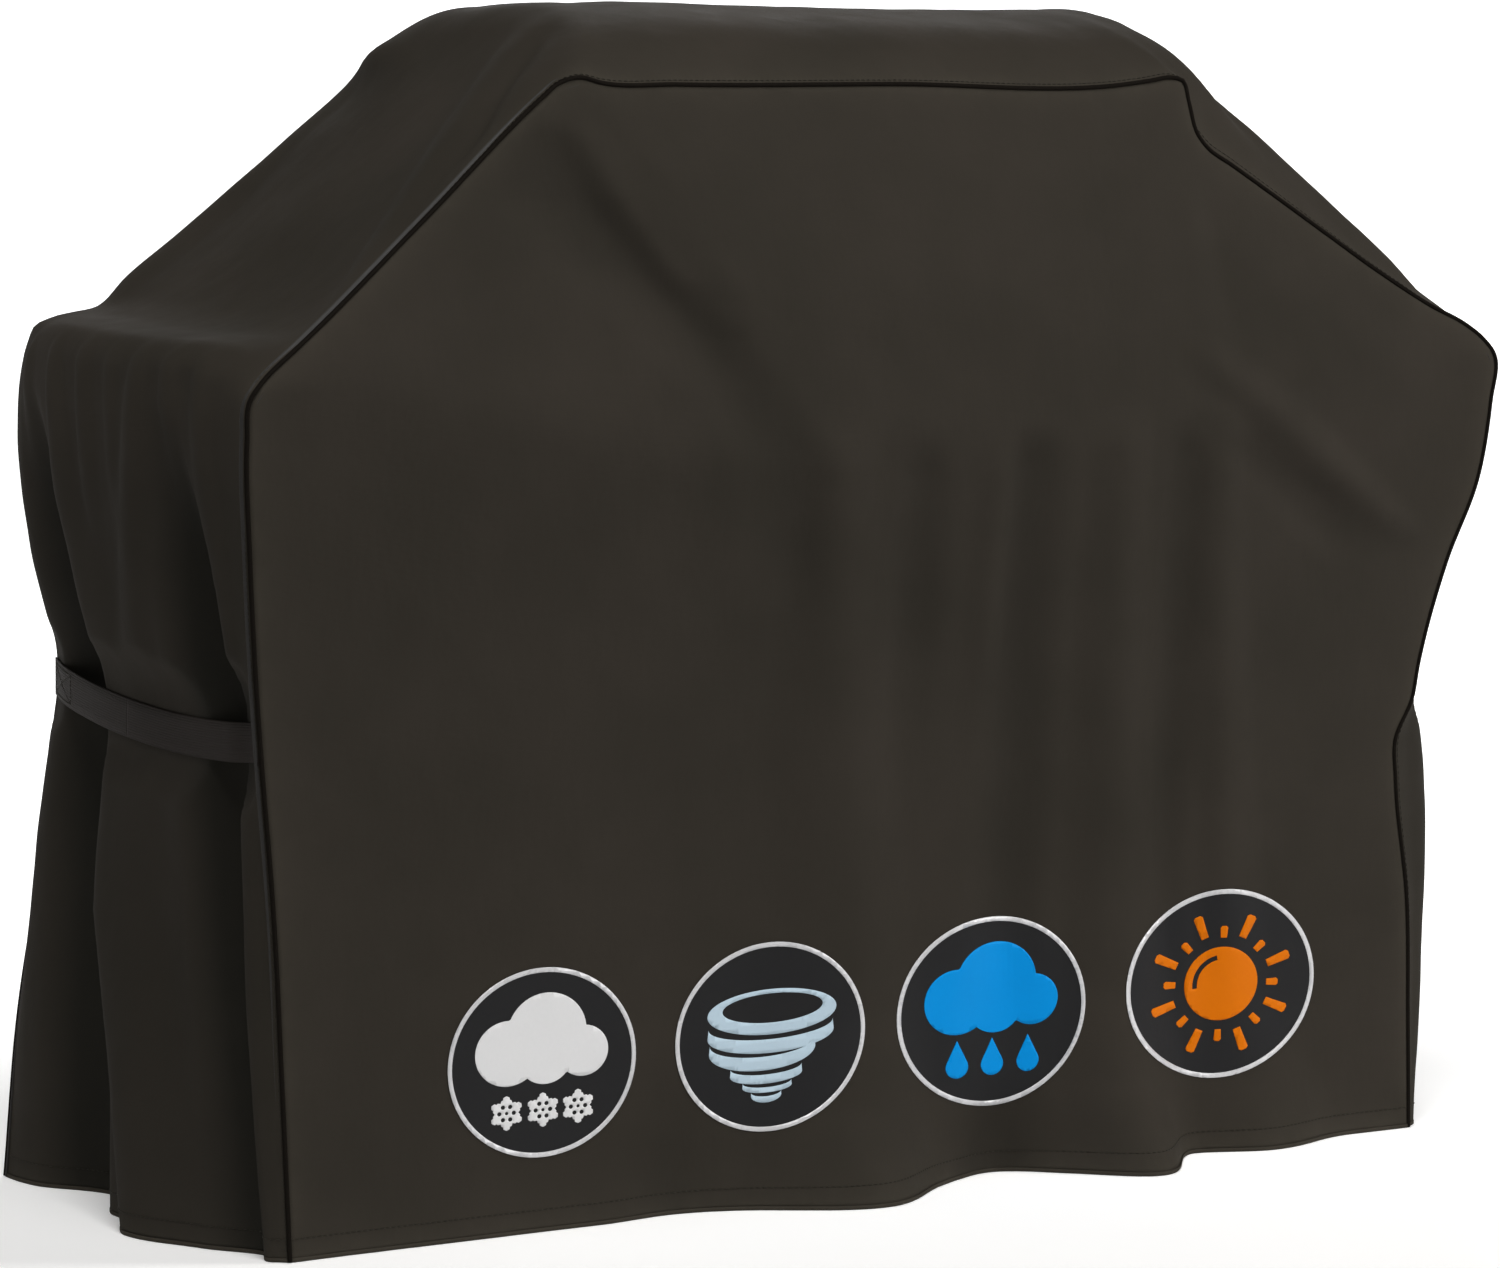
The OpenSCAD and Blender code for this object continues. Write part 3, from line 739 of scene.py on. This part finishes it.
def wrap_grid():
    """The strip from hem to hem over the roof: rows along it, columns from the front seam to the back one."""
    sections = np.stack([section_rows(s) for s in SECTIONS], axis=1)
    y = np.empty(sections.shape[:2])
    y[:, 0] = look(FRONT_Y, sections[:, 0, 1])
    y[:, -1] = look(BACK_Y, sections[:, -1, 1])
    y[:, 1:-1] = mm(STATION_Y)
    stations = np.stack([sections[..., 0], y, sections[..., 1]], axis=-1)
    knots = mm(SEAM_KNOTS)
    at = np.linspace(knots[0], knots[-1], COLUMNS + 1)
    return np.moveaxis(spline(np.moveaxis(stations, 1, 0), knots, at), 0, 1)


def strap_line(rows):
    """The strap's inner face and middle height as functions of y, in metres."""
    r = mm(rows)
    return r[:, 1], r[:, 0], r[:, 2]


def under_strap(out, y, z, rows):
    """Holds the cloth inside the strap that crosses it. The squeeze fades above and below the strap."""
    ys, xs, zs = strap_line(rows)
    fine = np.linspace(ys[0], ys[-1], 200)
    reach = np.interp(y, fine, spline(xs, ys, fine)) - 0.0006
    off = np.maximum(np.abs(z - np.interp(y, ys, zs)) - 0.5 * STRAP_W - 0.002, 0)
    limit = reach + 9.0 * off**2 + 0.4 * np.maximum(-0.268 - y, 0) + 3.0 * np.maximum(y - 0.25, 0)
    return np.where(off < 0.08, soft_min(out, limit, 0.0016), out)


def shaped_wrap():
    """The strip with its folds, ripples and the straps' squeeze. Its two seams stay where they are."""
    base = wrap_grid()
    n = out_of_strip(base)
    y, z = base[..., 1], base[..., 2]
    strip_depth = (SEAM_KNOTS[-1] - SEAM_KNOTS[0]) / 1000
    side = np.zeros(base.shape[:2])
    side[LEFT_ROWS] = 1
    side[RIGHT_ROWS] = 2
    edge = np.minimum(np.arange(COLUMNS + 1), COLUMNS - np.arange(COLUMNS + 1)) * (strip_depth / COLUMNS)
    hold = smooth(edge / 0.03)[None, :]
    left = folds(SIDE_RIDGES + SIDE_VALLEYS, y, z)
    right = folds(SIDE_RIDGES + SIDE_VALLEYS, y * 0.95 - 0.014, z) * 0.8
    move = np.where(side == 1, left, 0) + np.where(side == 2, right, 0)
    # On the slopes, a soft ridge runs down from the roof's front corner to the shoulder, after a crease.
    on_slope = (side == 0) & (np.abs(base[..., 0]) > 0.28)
    move += np.where(on_slope, folds(SLOPE_FOLDS, y, z), 0)
    move += 0.0011 * ripple(base, 9.0, 3.1) + 0.0005 * ripple(base, 26.0, 7.7)
    move *= hold
    move += 0.0006 * smooth(edge / 0.007)[None, :]
    grid = base + n * move[..., None]
    for rows, strap, sign in ((LEFT_ROWS, LEFT_STRAP, -1), (RIGHT_ROWS, RIGHT_STRAP, 1)):
        part = grid[rows]
        part[..., 0] = sign * under_strap(sign * part[..., 0], part[..., 1], part[..., 2], strap)
    grid[:, 0] = base[:, 0]
    grid[:, -1] = base[:, -1]
    grid[..., 2] = np.maximum(grid[..., 2], CLOTH_LOW)
    return grid


wrap = shaped_wrap()
front_seam = wrap[:, 0]
back_seam = wrap[:, -1]


def seam_wear(grid, seams):
    """1 at the hem and seams, fading to 0 in the cloth."""
    near = np.exp(-grid[..., 2] / 0.02)
    for seam in seams:
        near = np.maximum(near, np.exp(-distance_to(grid, seam) / 0.012))
    return near


def depth_share(valleys, across, z, full):
    """0 on open cloth, 1 where the valleys reach full depth or more: how much painted shade they get."""
    return np.clip(-folds(valleys, across, z) / full, 0, 1)


seams = [front_seam[::4], back_seam[::4]]
# Painted shade on the side cloth: darker in its fold valleys and all over below the shelf line; none on the
# slopes and roof.
shelf_shade = np.clip((SHELF_SHADE_Z - wrap[..., 2]) / 0.08, 0, 1)
side_shade_paint = np.clip(depth_share(SIDE_VALLEYS, wrap[..., 1], wrap[..., 2], 0.03) + 0.34 * shelf_shade, 0, 1)
side_shade_paint[SIDE_ROWS + 1 : -SIDE_ROWS - 1] = 0
strip = cloth_piece("side_and_roof_cloth", wrap, (0, 0, 1), [CLOTH, COAT], seam_wear(wrap, seams), side_shade_paint)


# ------------------------------------------------------------------ front and back panels
EAR = SIDE_ROWS + SLOPE_ROWS


def panel_base(seam):
    """A sheet spanned between the two rising seams and the roof seam: rows from the hem up."""
    rising_left = seam[: EAR + 1]
    rising_right = seam[::-1][: EAR + 1]
    u = np.linspace(0, 1, PANEL_COLUMNS + 1)[None, :, None]
    grid = rising_left[:, None] * (1 - u) + rising_right[:, None] * u
    roof = resample(seam[EAR : len(seam) - EAR], PANEL_COLUMNS)
    lift = (roof - grid[-1])[None]
    v = np.linspace(0, 1, EAR + 1)[:, None, None]
    return grid + lift * smooth((v - 0.93) / 0.07)


def front_out(x, z):
    """How far forward the front cloth hangs, over the shelves beside the grill and over its lid."""
    shelf_z = look(SHELF_Z, x)
    shelf = look(SHELF_OUT, x)
    low = HEM_OUT / 1000 + (shelf - HEM_OUT / 1000) * (z / shelf_z) ** 1.5
    side = soft_min(low, shelf - END_LEAN * (z - shelf_z), 0.006)
    mid = shelf - MIDDLE_LEAN * (z - shelf_z)
    top = LID_OUT / 1000 - LID_LEAN * (z - LID_Z / 1000)
    lid = soft_min(soft_min(low, mid, 0.005), top, 0.003)
    inside = smooth((x - look(LID_LEFT, z)) / 0.06 + 0.5) * smooth((look(LID_RIGHT, z) - x) / 0.05 + 0.5)
    return side + (lid - side) * inside


def back_out(x, z):
    """The same for the back, which hangs nearly straight."""
    shelf_z = 0.80 + 0.03 * np.abs(x)
    shelf = 0.322 - 0.02 * (x / 0.7) ** 2
    low = 0.278 + (shelf - 0.278) * z / shelf_z
    return soft_min(low, shelf - 0.13 * (z - shelf_z), 0.012)


def panel_grid(seam, sign, reach, fold_rows, seed):
    """A front (sign -1) or back (sign 1) panel."""
    grid = panel_base(seam)
    x, z = grid[..., 0], grid[..., 2]
    off = distance_to(grid[..., [0, 2]], seam[::3][:, [0, 2]])
    free = smooth(off / 0.085)
    base = sign * grid[..., 1]
    out = base + (reach(x, z) - base) * free
    out += folds(fold_rows, x, z) * smooth(off / 0.06)
    flat = np.stack([x, np.full_like(x, 0.3 * sign), z], axis=-1)
    unevenness = 0.0016 * ripple(flat, 6.0, seed, (1, 1, 0.45)) + 0.0006 * ripple(flat, 22.0, seed)
    out += unevenness * smooth(off / 0.03)
    out += 0.0008 * smooth(off / 0.007)
    grid[..., 1] = sign * out
    grid[..., 2] = np.maximum(grid[..., 2], CLOTH_LOW)
    return grid


front_grid = panel_grid(front_seam, -1, front_out, FRONT_RIDGES + FRONT_VALLEYS, 11.3)
back_grid = panel_grid(back_seam, 1, back_out, BACK_FOLDS, 23.9)
# Painted shade in the front's fold valleys, at most 0.4 of full.
front_shade_paint = 0.4 * depth_share(FRONT_VALLEYS, front_grid[..., 0], front_grid[..., 2], 0.016)
front_wear = seam_wear(front_grid, seams[:1])
front = cloth_piece("front_cloth", front_grid, (0, -1, 0), [CLOTH, COAT], front_wear, front_shade_paint)
back_wear = seam_wear(back_grid, seams[1:])
back = cloth_piece("back_cloth", back_grid, (0, 1, 0), [CLOTH, COAT], back_wear, np.zeros_like(back_wear))


# ------------------------------------------------------------------ piping, stitching, tape, hems
def inward_of(seam):
    """Unit directions from a seam towards the inside of the cover."""
    centre = np.stack([0.75 * seam[:, 0], 0 * seam[:, 1], np.minimum(0.85 * seam[:, 2], 0.9)], axis=1)
    t = tangents(seam)
    d = centre - seam
    return unit(d - np.sum(d * t, axis=1, keepdims=True) * t)


def seam_trim(which, seam):
    """The piping cord in a seam, and the arched tape over the seam allowance inside."""
    dense = resample(seam, 900)
    piping = cord(f"{which}_piping_cord", dense, PIPING_R, PIPING_SIDES, PIPING)
    carried(piping, "piping", "cover", f"{which}_piping")
    inward = inward_of(dense)
    side = np.cross(tangents(dense), inward)
    arch = [(-0.5, 0.0030), (-0.25, 0.0036), (0, 0.0040), (0.25, 0.0036), (0.5, 0.0030)]
    grid = np.stack([dense + inward * (CLOTH_T + d) + side * a * TAPE_W * 0.85 for a, d in arch], axis=1)
    cover = mesh_piece(f"{which}_tape", grid.reshape(-1, 3), quads(len(dense), len(arch)), [TAPE])
    add_uv(cover, grid_uv(np.linspace(0, TAPE_W, len(arch))[None], arc_length(dense)[:, None]))
    thicken(cover, 0.0006, 0.0)
    carried(cover, "seam_tape", "cover", f"{which}_seam_tape")


seam_trim("front", front_seam)
seam_trim("back", back_seam)
strip_out = out_of_strip(wrap)
seam_stitches = [
    stitches(f"{which}_seam_stitches", wrap[:, c] + 0.0002 * strip_out[:, c], strip_out[:, c], **STITCH)
    for which, c in (("front", 1), ("back", -2))
]


def level_line(grid, height):
    """The line at one height on a grid whose rows rise from the hem."""
    points = []
    for c in range(grid.shape[1]):
        column = grid[:, c]
        order = column[:, 2].argsort(kind="stable")[:12]
        order.sort()
        points.append([np.interp(height, column[order, 2], column[order, k]) for k in range(3)])
    return np.array(points)


def hem(name, grid, outward):
    """The turned-in hem: a band inside the cloth, from round its bottom edge, and its row of stitches."""
    low = level_line(grid, 0.0012)
    lines = [level_line(grid, h) for h in (0.0012, 0.009, 0.017, HEM_H)]
    n = unit(np.cross(tangents(low), [0, 0, 1.0]))
    n *= np.sign(np.mean(n @ np.asarray(outward, float)))
    # The band's edges from outside to inside: which line, how far out of the cloth, how far up, and its v.
    edges = [(0, 0.00035, 0.0030, 0.0), (0, 0.00035, 0, 0.003), (0, -0.0001, -0.0008, 0.004),
        (0, -0.0009, -0.0009, 0.005), (0, -0.0019, 0, 0.006), (1, -0.0021, 0, 0.014), (2, -0.0020, 0, 0.022),
        (3, -0.0018, 0, 0.03)]
    band = np.stack([lines[k] + n * out + [0, 0, up] for k, out, up, _ in edges], axis=0)
    band[..., 2] = np.maximum(band[..., 2], TRIM_LOW)
    piece = mesh_piece(name, band.reshape(-1, 3), quads(*band.shape[:2]), [CLOTH])
    add_uv(piece, grid_uv(arc_length(low)[None], np.array([v for *_, v in edges])[:, None]))
    add_value(piece, "wear", np.broadcast_to(np.linspace(1, 0.3, len(edges))[:, None], band.shape[:2]))
    add_value(piece, "painted_shade", np.zeros(band.shape[:2]))
    thicken(piece, 0.0005, 0.0)
    line = level_line(grid, HEM_H - 0.003)
    row = stitches(name + "_stitches", line + n * 0.0002, n, **STITCH)
    return piece, row


hems = {
    "front": hem("front_hem_band", front_grid, (0, -1, 0)),
    "back": hem("back_hem_band", back_grid, (0, 1, 0)),
    "left": hem("left_hem_band", wrap[LEFT_ROWS], (-1, 0, 0)),
    "right": hem("right_hem_band", wrap[RIGHT_ROWS][::-1], (1, 0, 0)),
}
for where, (band, row) in hems.items():
    carried(band, "cover_cloth", "cover", f"{where}_hem")
    carried(row, "piping", "cover")
for row in seam_stitches:
    carried(row, "piping", "cover")

for piece, nodes in (
    (strip, ["left_side_panel", "left_slope_panel", "roof_panel", "right_slope_panel", "right_side_panel"]),
    (front, ["front_panel"]),
    (back, ["back_panel"]),
):
    carried(piece, "cover_cloth", "cover", *nodes)


# ------------------------------------------------------------------ straps
def strap_path(rows, sign, start, end, count):
    """Points of the strap's inner face between two places along y, with outward directions."""
    ys, xs, zs = strap_line(rows)
    y = np.linspace(start, end, count)
    fine = np.linspace(ys[0], ys[-1], 400)
    x = np.interp(y, fine, spline(xs, ys, fine))
    z = np.interp(y, fine, spline(zs, ys, fine))
    path = np.stack([sign * x, y, z], axis=1)
    slope = np.gradient(x, y)
    return path, unit(np.stack([np.full(count, float(sign)), -slope, np.zeros(count)], axis=1))


def band_piece(name, path, out, width, thickness, material, lift=0.0):
    """A flat band with rounded edges along a path, standing lift proud of it."""
    up = unit(np.cross(out, tangents(path)))
    up *= np.sign(up[:, 2:3])
    half, r = width / 2, thickness * 0.45
    profile = [(-half + r, 0), (half - r, 0), (half, r), (half, thickness - r), (half - r, thickness),
        (half * 0.5, thickness), (0, thickness), (-half * 0.5, thickness), (-half + r, thickness),
        (-half, thickness - r), (-half, r)]
    points = np.stack([path + up * a + out * (b + lift) for a, b in profile], axis=1)
    piece = solid_piece(name, points, tube_faces(len(path), len(profile)), material)
    add_uv(piece, grid_uv(np.array([a for a, _ in profile])[None], arc_length(path)[:, None]))
    return piece


def box_stitches(name, rows, sign, y0, y1, half, body):
    """A sewn box with a cross in it, through the strap."""
    path, out = strap_path(rows, sign, y0, y1, 60)
    legs = []
    for (ya, za), (yb, zb) in (
        ((y0, -half), (y1, -half)),
        ((y1, -half), (y1, half)),
        ((y1, half), (y0, half)),
        ((y0, half), (y0, -half)),
        ((y0, -half), (y1, half)),
        ((y0, half), (y1, -half)),
    ):
        t = np.linspace(0, 1, 24)
        y = ya + (yb - ya) * t
        x = np.interp(y, path[:, 1], path[:, 0])
        z = np.interp(y, path[:, 1], path[:, 2])
        o = np.stack([np.interp(y, path[:, 1], out[:, k]) for k in range(3)], axis=1)
        line = np.stack([x, y, z + za + (zb - za) * t], axis=1) + o * STRAP_T
        legs.append(stitches(f"{name}_{len(legs)}", line, o, **BOX_STITCH))
    for leg in legs[1:]:
        join_into(legs[0], leg)
    legs[0].name = name
    carried(legs[0], "webbing", body)


def join_into(keep, other):
    """Adds another piece's mesh to the first, and removes that piece."""
    bm = bmesh.new()
    bm.from_mesh(keep.data)
    bm.from_mesh(other.data)
    bm.to_mesh(keep.data)
    bm.free()
    bpy.data.objects.remove(other)


def bends(piece):
    """Bakes a strap length's transform into its mesh."""
    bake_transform(piece)


def make_strap(where, rows, sign, start):
    """One side's strap: the length from the front seam, its end, and the hook and loop strips."""
    body, end_body = f"{where}_strap", f"{where}_strap_end"
    path, out = strap_path(rows, sign, start, 0.0, 150)
    root = band_piece(f"{where}_strap_webbing", path, out, STRAP_W, STRAP_T, WEBBING)
    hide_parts(f"{where}_strap", f"{where}_strap_anchor")
    bends(root)
    path, out = strap_path(rows, sign, 0.0, STRAP_TIP, 130)
    tail = band_piece(f"{where}_strap_tail", path, out, STRAP_W, STRAP_T, WEBBING)
    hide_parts(f"{where}_strap_end")
    bends(tail)
    path, out = strap_path(rows, sign, *PAD_Y, 60)
    hooks = band_piece(f"{where}_hook_strip", path, out, STRAP_W - 0.005, 0.0011, HOOKS, lift=-0.0011)
    carried(hooks, "hook_tape", end_body, f"{where}_hook_pad")
    loops = band_piece(f"{where}_loop_strip", path, out, STRAP_W - 0.003, 0.0012, LOOPS, lift=-0.0024)
    carried(loops, "loop_tape", "cover", f"{where}_loop_pad")
    box_stitches(f"{where}_anchor_stitches", rows, sign, start + 0.003, -0.268, 0.015, "cover")
    box_stitches(f"{where}_end_stitches", rows, sign, 0.155, 0.232, 0.0145, end_body)


make_strap("left", LEFT_STRAP, -1, -0.292)
make_strap("right", RIGHT_STRAP, 1, -0.284)


# ------------------------------------------------------------------ badges
front_tree = BVHTree.FromPolygons([tuple(p) for p in front_grid.reshape(-1, 3)],
    [tuple(f) for f in quads(*front_grid.shape[:2])])
CAMERA = Vector((-3.4649, -5.2654, 1.1093))  # the badges lie where the camera sees them in the photograph
FILM_CELL = 0.006  # the films are cut this small, so that they follow the folds


def on_cloth(x, z, lift):
    """The place on the front cloth that badge point (x, z) is pressed onto."""
    hit, normal = front_tree.ray_cast(CAMERA, (Vector((x, -0.28, z)) - CAMERA).normalized())[:2]
    if normal.y > 0:
        normal = -normal
    return hit + normal * lift


def film(name, shapes, badge, lift, material, slot, node):
    """Film pressed on the front cloth. A shape is an outer loop and its holes, in half sizes of the badge."""
    x, z, half_w, half_h = mm(BADGES[badge])
    bm = bmesh.new()
    for loops in shapes:
        edges = []
        for loop in loops:
            ring = [bm.verts.new((a * half_w, 0, b * half_h)) for a, b in loop]
            edges += [bm.edges.new((p, q)) for p, q in zip(ring, ring[1:] + ring[:1])]
        bmesh.ops.triangle_fill(bm, edges=edges, use_beauty=True, use_dissolve=False)
    low = [min(v.co[k] for v in bm.verts) for k in (0, 2)]
    high = [max(v.co[k] for v in bm.verts) for k in (0, 2)]
    for k, axis in enumerate(((1, 0, 0), (0, 0, 1))):
        for c in np.arange(math.floor(low[k] / FILM_CELL) * FILM_CELL, high[k] + FILM_CELL, FILM_CELL):
            bmesh.ops.bisect_plane(bm, geom=bm.verts[:] + bm.edges[:] + bm.faces[:], dist=1e-6,
                plane_co=Vector(axis) * float(c), plane_no=axis)
    for v in bm.verts:
        v.co = on_cloth(x + v.co.x, z + v.co.z, lift)
    bmesh.ops.remove_doubles(bm, verts=bm.verts, dist=1e-6)
    bmesh.ops.recalc_face_normals(bm, faces=bm.faces)
    if sum(f.normal.y * f.calc_area() for f in bm.faces) > 0:
        bmesh.ops.reverse_faces(bm, faces=bm.faces)
    mesh = bpy.data.meshes.new(name)
    bm.to_mesh(mesh)
    bm.free()
    mesh.materials.append(material)
    piece = linked(name, mesh)
    thicken(piece, 0.0003)
    carried(piece, slot, "cover", node)


def oval(cx, cy, a, b, count=72, start=0.0, sweep=360.0):
    """Points of an oval, or of part of one, counter-clockwise from start."""
    steps = count if sweep >= 360 else count + 1
    w = np.radians(start + sweep * np.arange(steps) / count)
    return [(cx + a * math.cos(t), cy + b * math.sin(t)) for t in w]


def cloud_outline():
    """The outer edge of a cloud's four puffs, seen from a point inside."""
    puffs = [(-0.368, 0.127, 0.345), (0.047, 0.312, 0.42), (0.43, 0.085, 0.27), (0.03, 0.055, 0.285)]
    centre = np.array([0.03, 0.15])
    outline = []
    for w in np.radians(np.arange(0, 360, 2.5)):
        d = np.array([math.cos(w), math.sin(w)])
        best = 0.0
        for x, y, r in puffs:
            rel = np.array([x, y]) - centre
            along = rel @ d
            gap = r * r - (rel @ rel - along * along)
            if gap > 0 and along + math.sqrt(gap) > best:
                best = along + math.sqrt(gap)
        outline.append(tuple(centre + d * best))
    return outline


def flake_outlines(cx, cy, arm):
    """A six-armed snowflake: knobs at the arms' ends, and holes at its middle and between the arms."""
    profile = [(-11, 0.93), (0, 1.0), (11, 0.93), (14, 0.80), (21, 0.80), (30, 0.68), (39, 0.80), (46, 0.80)]
    rim = []
    for k in range(6):
        for turn, reach in profile:
            w = math.radians(90 + 60 * k + turn)
            rim.append((cx + arm * reach * math.cos(w), cy + arm * reach * math.sin(w)))
    holes = [oval(cx, cy, 0.10 * arm, 0.10 * arm, 10)]
    for k in range(6):
        w = math.radians(120 + 60 * k)
        x, y = cx + 0.42 * arm * math.cos(w), cy + 0.42 * arm * math.sin(w)
        holes.append(oval(x, y, 0.13 * arm, 0.13 * arm, 10))
    return [rim] + holes


def drop_outline(cx, cy, r):
    """A raindrop with its point up."""
    belly = oval(cx, cy, r, r, 28, start=-205, sweep=230)
    return belly + [(cx, cy + 2.35 * r)]


def swirl(cx, half, low_ends, low_middle, high_ends, high_middle):
    """A band that hangs like a smile, between a lower and an upper edge."""
    under = oval(cx, low_ends, half, low_ends - low_middle, 40, 180, 180)
    over = oval(cx, high_ends, half * 0.985, high_ends - high_middle, 40, 180, 180)
    return under + over[::-1]


def ray_outline(angle, near, far, half):
    """A sun ray between two distances, a little wider at its outer end."""
    d = (math.cos(math.radians(angle)), math.sin(math.radians(angle)))
    s = (-d[1], d[0])
    loop = []
    for t, w in ((near, -0.8), (far - 0.02, -1), (far, -0.55), (far, 0.55), (far - 0.02, 1), (near, 0.8)):
        loop.append((d[0] * t + s[0] * w * half, d[1] * t + s[1] * w * half))
    return loop


# What each badge's picture is printed with: a slot name, and the material.
INKS = {"snow": ("print_snow", SNOW), "tornado": ("print_wind", WIND), "rain": ("print_rain", RAIN),
    "sun": ("print_sun", SUN)}


def paint(badge, name, shapes):
    """One of a badge's prints, on top of its dark disc."""
    slot, ink = INKS[badge]
    film(f"{name}_film", shapes, badge, PRINT_LIFT, ink, slot, name)


DISC = oval(0, 0, 1, 1, 96)
for badge in BADGES:
    film(f"{badge}_disc_film", [[DISC]], badge, DISC_LIFT, BLACK, "badge_black", f"{badge}_badge_disc")
    ring = [DISC, oval(0, 0, 0.956, 0.95, 96)]
    film(f"{badge}_ring_film", [ring], badge, RING_LIFT, SILVER, "badge_silver", f"{badge}_badge_ring")
paint("snow", "snow_cloud", [[cloud_outline()]])
paint("snow", "snowflakes", [flake_outlines(x, -0.50, 0.182) for x in (-0.385, 0.0, 0.375)])
paint("rain", "rain_cloud", [[cloud_outline()]])
paint("rain", "raindrops", [[drop_outline(x, -0.56, 0.118)] for x in (-0.37, 0.0, 0.38)])

# The tornado's bands: middle, half width, then the heights of the ends and middle of its two edges.
BANDS = [(0.0, 0.665, 0.03, -0.17, 0.13, -0.025), (-0.09, 0.56, -0.13, -0.35, -0.045, -0.205),
    (-0.05, 0.38, -0.39, -0.49, -0.31, -0.395), (-0.04, 0.26, -0.52, -0.585, -0.47, -0.53),
    (-0.05, 0.16, -0.61, -0.69, -0.575, -0.625)]
mouth = [oval(0.014, 0.265, 0.68, 0.24), oval(0.02, 0.305, 0.53, 0.155)]
paint("tornado", "tornado", [mouth] + [[swirl(*band)] for band in BANDS])

glint = oval(0, 0, 0.305, 0.305, 30, 98, 88) + oval(0, 0, 0.255, 0.255, 30, 98, 88)[::-1]
paint("sun", "sun_disc", [[oval(0, 0, 0.39, 0.39), glint]])
LONG_RAY = (0.52, 0.77, 0.05)
SHORT_RAY = (0.485, 0.61, 0.04)
paint("sun", "sun_rays", [[ray_outline(19 + 22.5 * i, *(LONG_RAY, SHORT_RAY)[i % 2])] for i in range(16)])


# ------------------------------------------------------------------ stage, light and camera
PSI = math.radians(33.508)  # the camera looks this far to the right of straight ahead
PHI = math.radians(5.230)  # and this far down
FORWARD = Vector((math.sin(PSI) * math.cos(PHI), math.cos(PSI) * math.cos(PHI), -math.sin(PHI)))


def studio_paper(name):
    """White paper that glows behind the cover and far off, and is grey where it lies towards the camera."""
    n = Nodes(name)
    place = n.place()
    white = n.mix(n.spread(n.noise(place, 3.0, 3.0), 0.0, 0.3), srgb(248, 248, 248), srgb(240, 240, 240))
    toward = (math.sin(PSI), math.cos(PSI), 0.0)
    ahead = n.add("ShaderNodeVectorMath", {0: place, 1: toward}, operation="DOT_PRODUCT").outputs["Value"]
    reach = n.add("ShaderNodeVectorMath", {0: place}, operation="LENGTH").outputs["Value"]
    height = n.add("ShaderNodeSeparateXYZ", {"Vector": place}).outputs["Z"]
    glow = n.math("ADD", n.rise(ahead, -1.5, 2.2, 0.0, 0.6), n.rise(reach, 3.0, 8.0, 0.03, 0.34))
    glow = n.math("MULTIPLY", glow, n.rise(height, 1.8, 2.6, 1.0, 0.0))
    n.tree.links.new(glow, n.shader.inputs["Emission Strength"])
    near = n.add("ShaderNodeMapRange", {"Value": ahead, "From Min": -1.9, "From Max": -0.8}).outputs[0]
    white = n.mix(near, srgb(190, 190, 190), white)
    return n.finish(white, 0.9, Specular_IOR_Level=0.05, Emission_Color=(1.0, 1.0, 1.0, 1.0))


def studio_bowl(name):
    """A round floor that curves up into a wall, wide enough for a camera on any side."""
    corners = [(0.02, 0), (4, 0), (9, 0), (12, 0), (13.4, 0.5), (14, 1.8), (14.2, 3.6), (14.3, 6)]
    knots = arc_length(np.array(corners))
    dense = resample(spline(corners, knots, np.linspace(0, knots[-1], 300)), 60)
    turn = np.linspace(0, 2 * np.pi, 72, endpoint=False)
    r, z = dense[:, 0, None], np.maximum(dense[:, 1, None], 0.0) - 0.0002
    points = np.stack(np.broadcast_arrays(r * np.cos(turn), r * np.sin(turn), z), axis=-1)
    faces = tube_faces(len(dense), len(turn))[:-1]
    mesh_piece(name, points.reshape(-1, 3), faces, [studio_paper("studio_paper")])


studio_bowl("studio_bowl")


def area_light(name, place, target, size, watts, colour=(1, 1, 1)):
    """A soft light that the camera doesn't see."""
    data = bpy.data.lights.new(name, "AREA")
    data.shape = "RECTANGLE"
    data.size, data.size_y = size
    data.energy = watts
    data.color = colour
    light = bpy.data.objects.new(name, data)
    bpy.context.collection.objects.link(light)
    light.location = place
    light.visible_camera = False
    light.rotation_euler = (Vector(target) - Vector(place)).to_track_quat("-Z", "Y").to_euler()


area_light("top", (-1.65, -2.2, 5.0), (-0.1, -0.1, 0.5), (2.2, 2.2), 215, (1.0, 0.99, 0.975))
area_light("key", (4.7, -3.7, 2.8), (0.1, -0.2, 0.6), (1.2, 1.2), 205, (1.0, 0.98, 0.955))
area_light("back", (3.2, 4.8, 3.4), (0.1, 0.1, 0.6), (2.0, 2.0), 130)

world = bpy.data.worlds.new("studio")
world.use_nodes = True
background = world.node_tree.nodes["Background"]
background.inputs["Color"].default_value = (1.0, 1.0, 1.0, 1.0)
background.inputs["Strength"].default_value = 0.05
bpy.context.scene.world = world
bpy.context.scene.view_settings.view_transform = "Standard"
bpy.context.scene.view_settings.look = "None"

camera_data = bpy.data.cameras.new("camera")
camera_data.sensor_width = 36
camera_data.lens = 149.14
camera_data.clip_end = 60
camera = bpy.data.objects.new("camera", camera_data)
bpy.context.collection.objects.link(camera)
camera.location = CAMERA
camera.rotation_euler = FORWARD.to_track_quat("-Z", "Y").to_euler()
bpy.context.scene.camera = camera
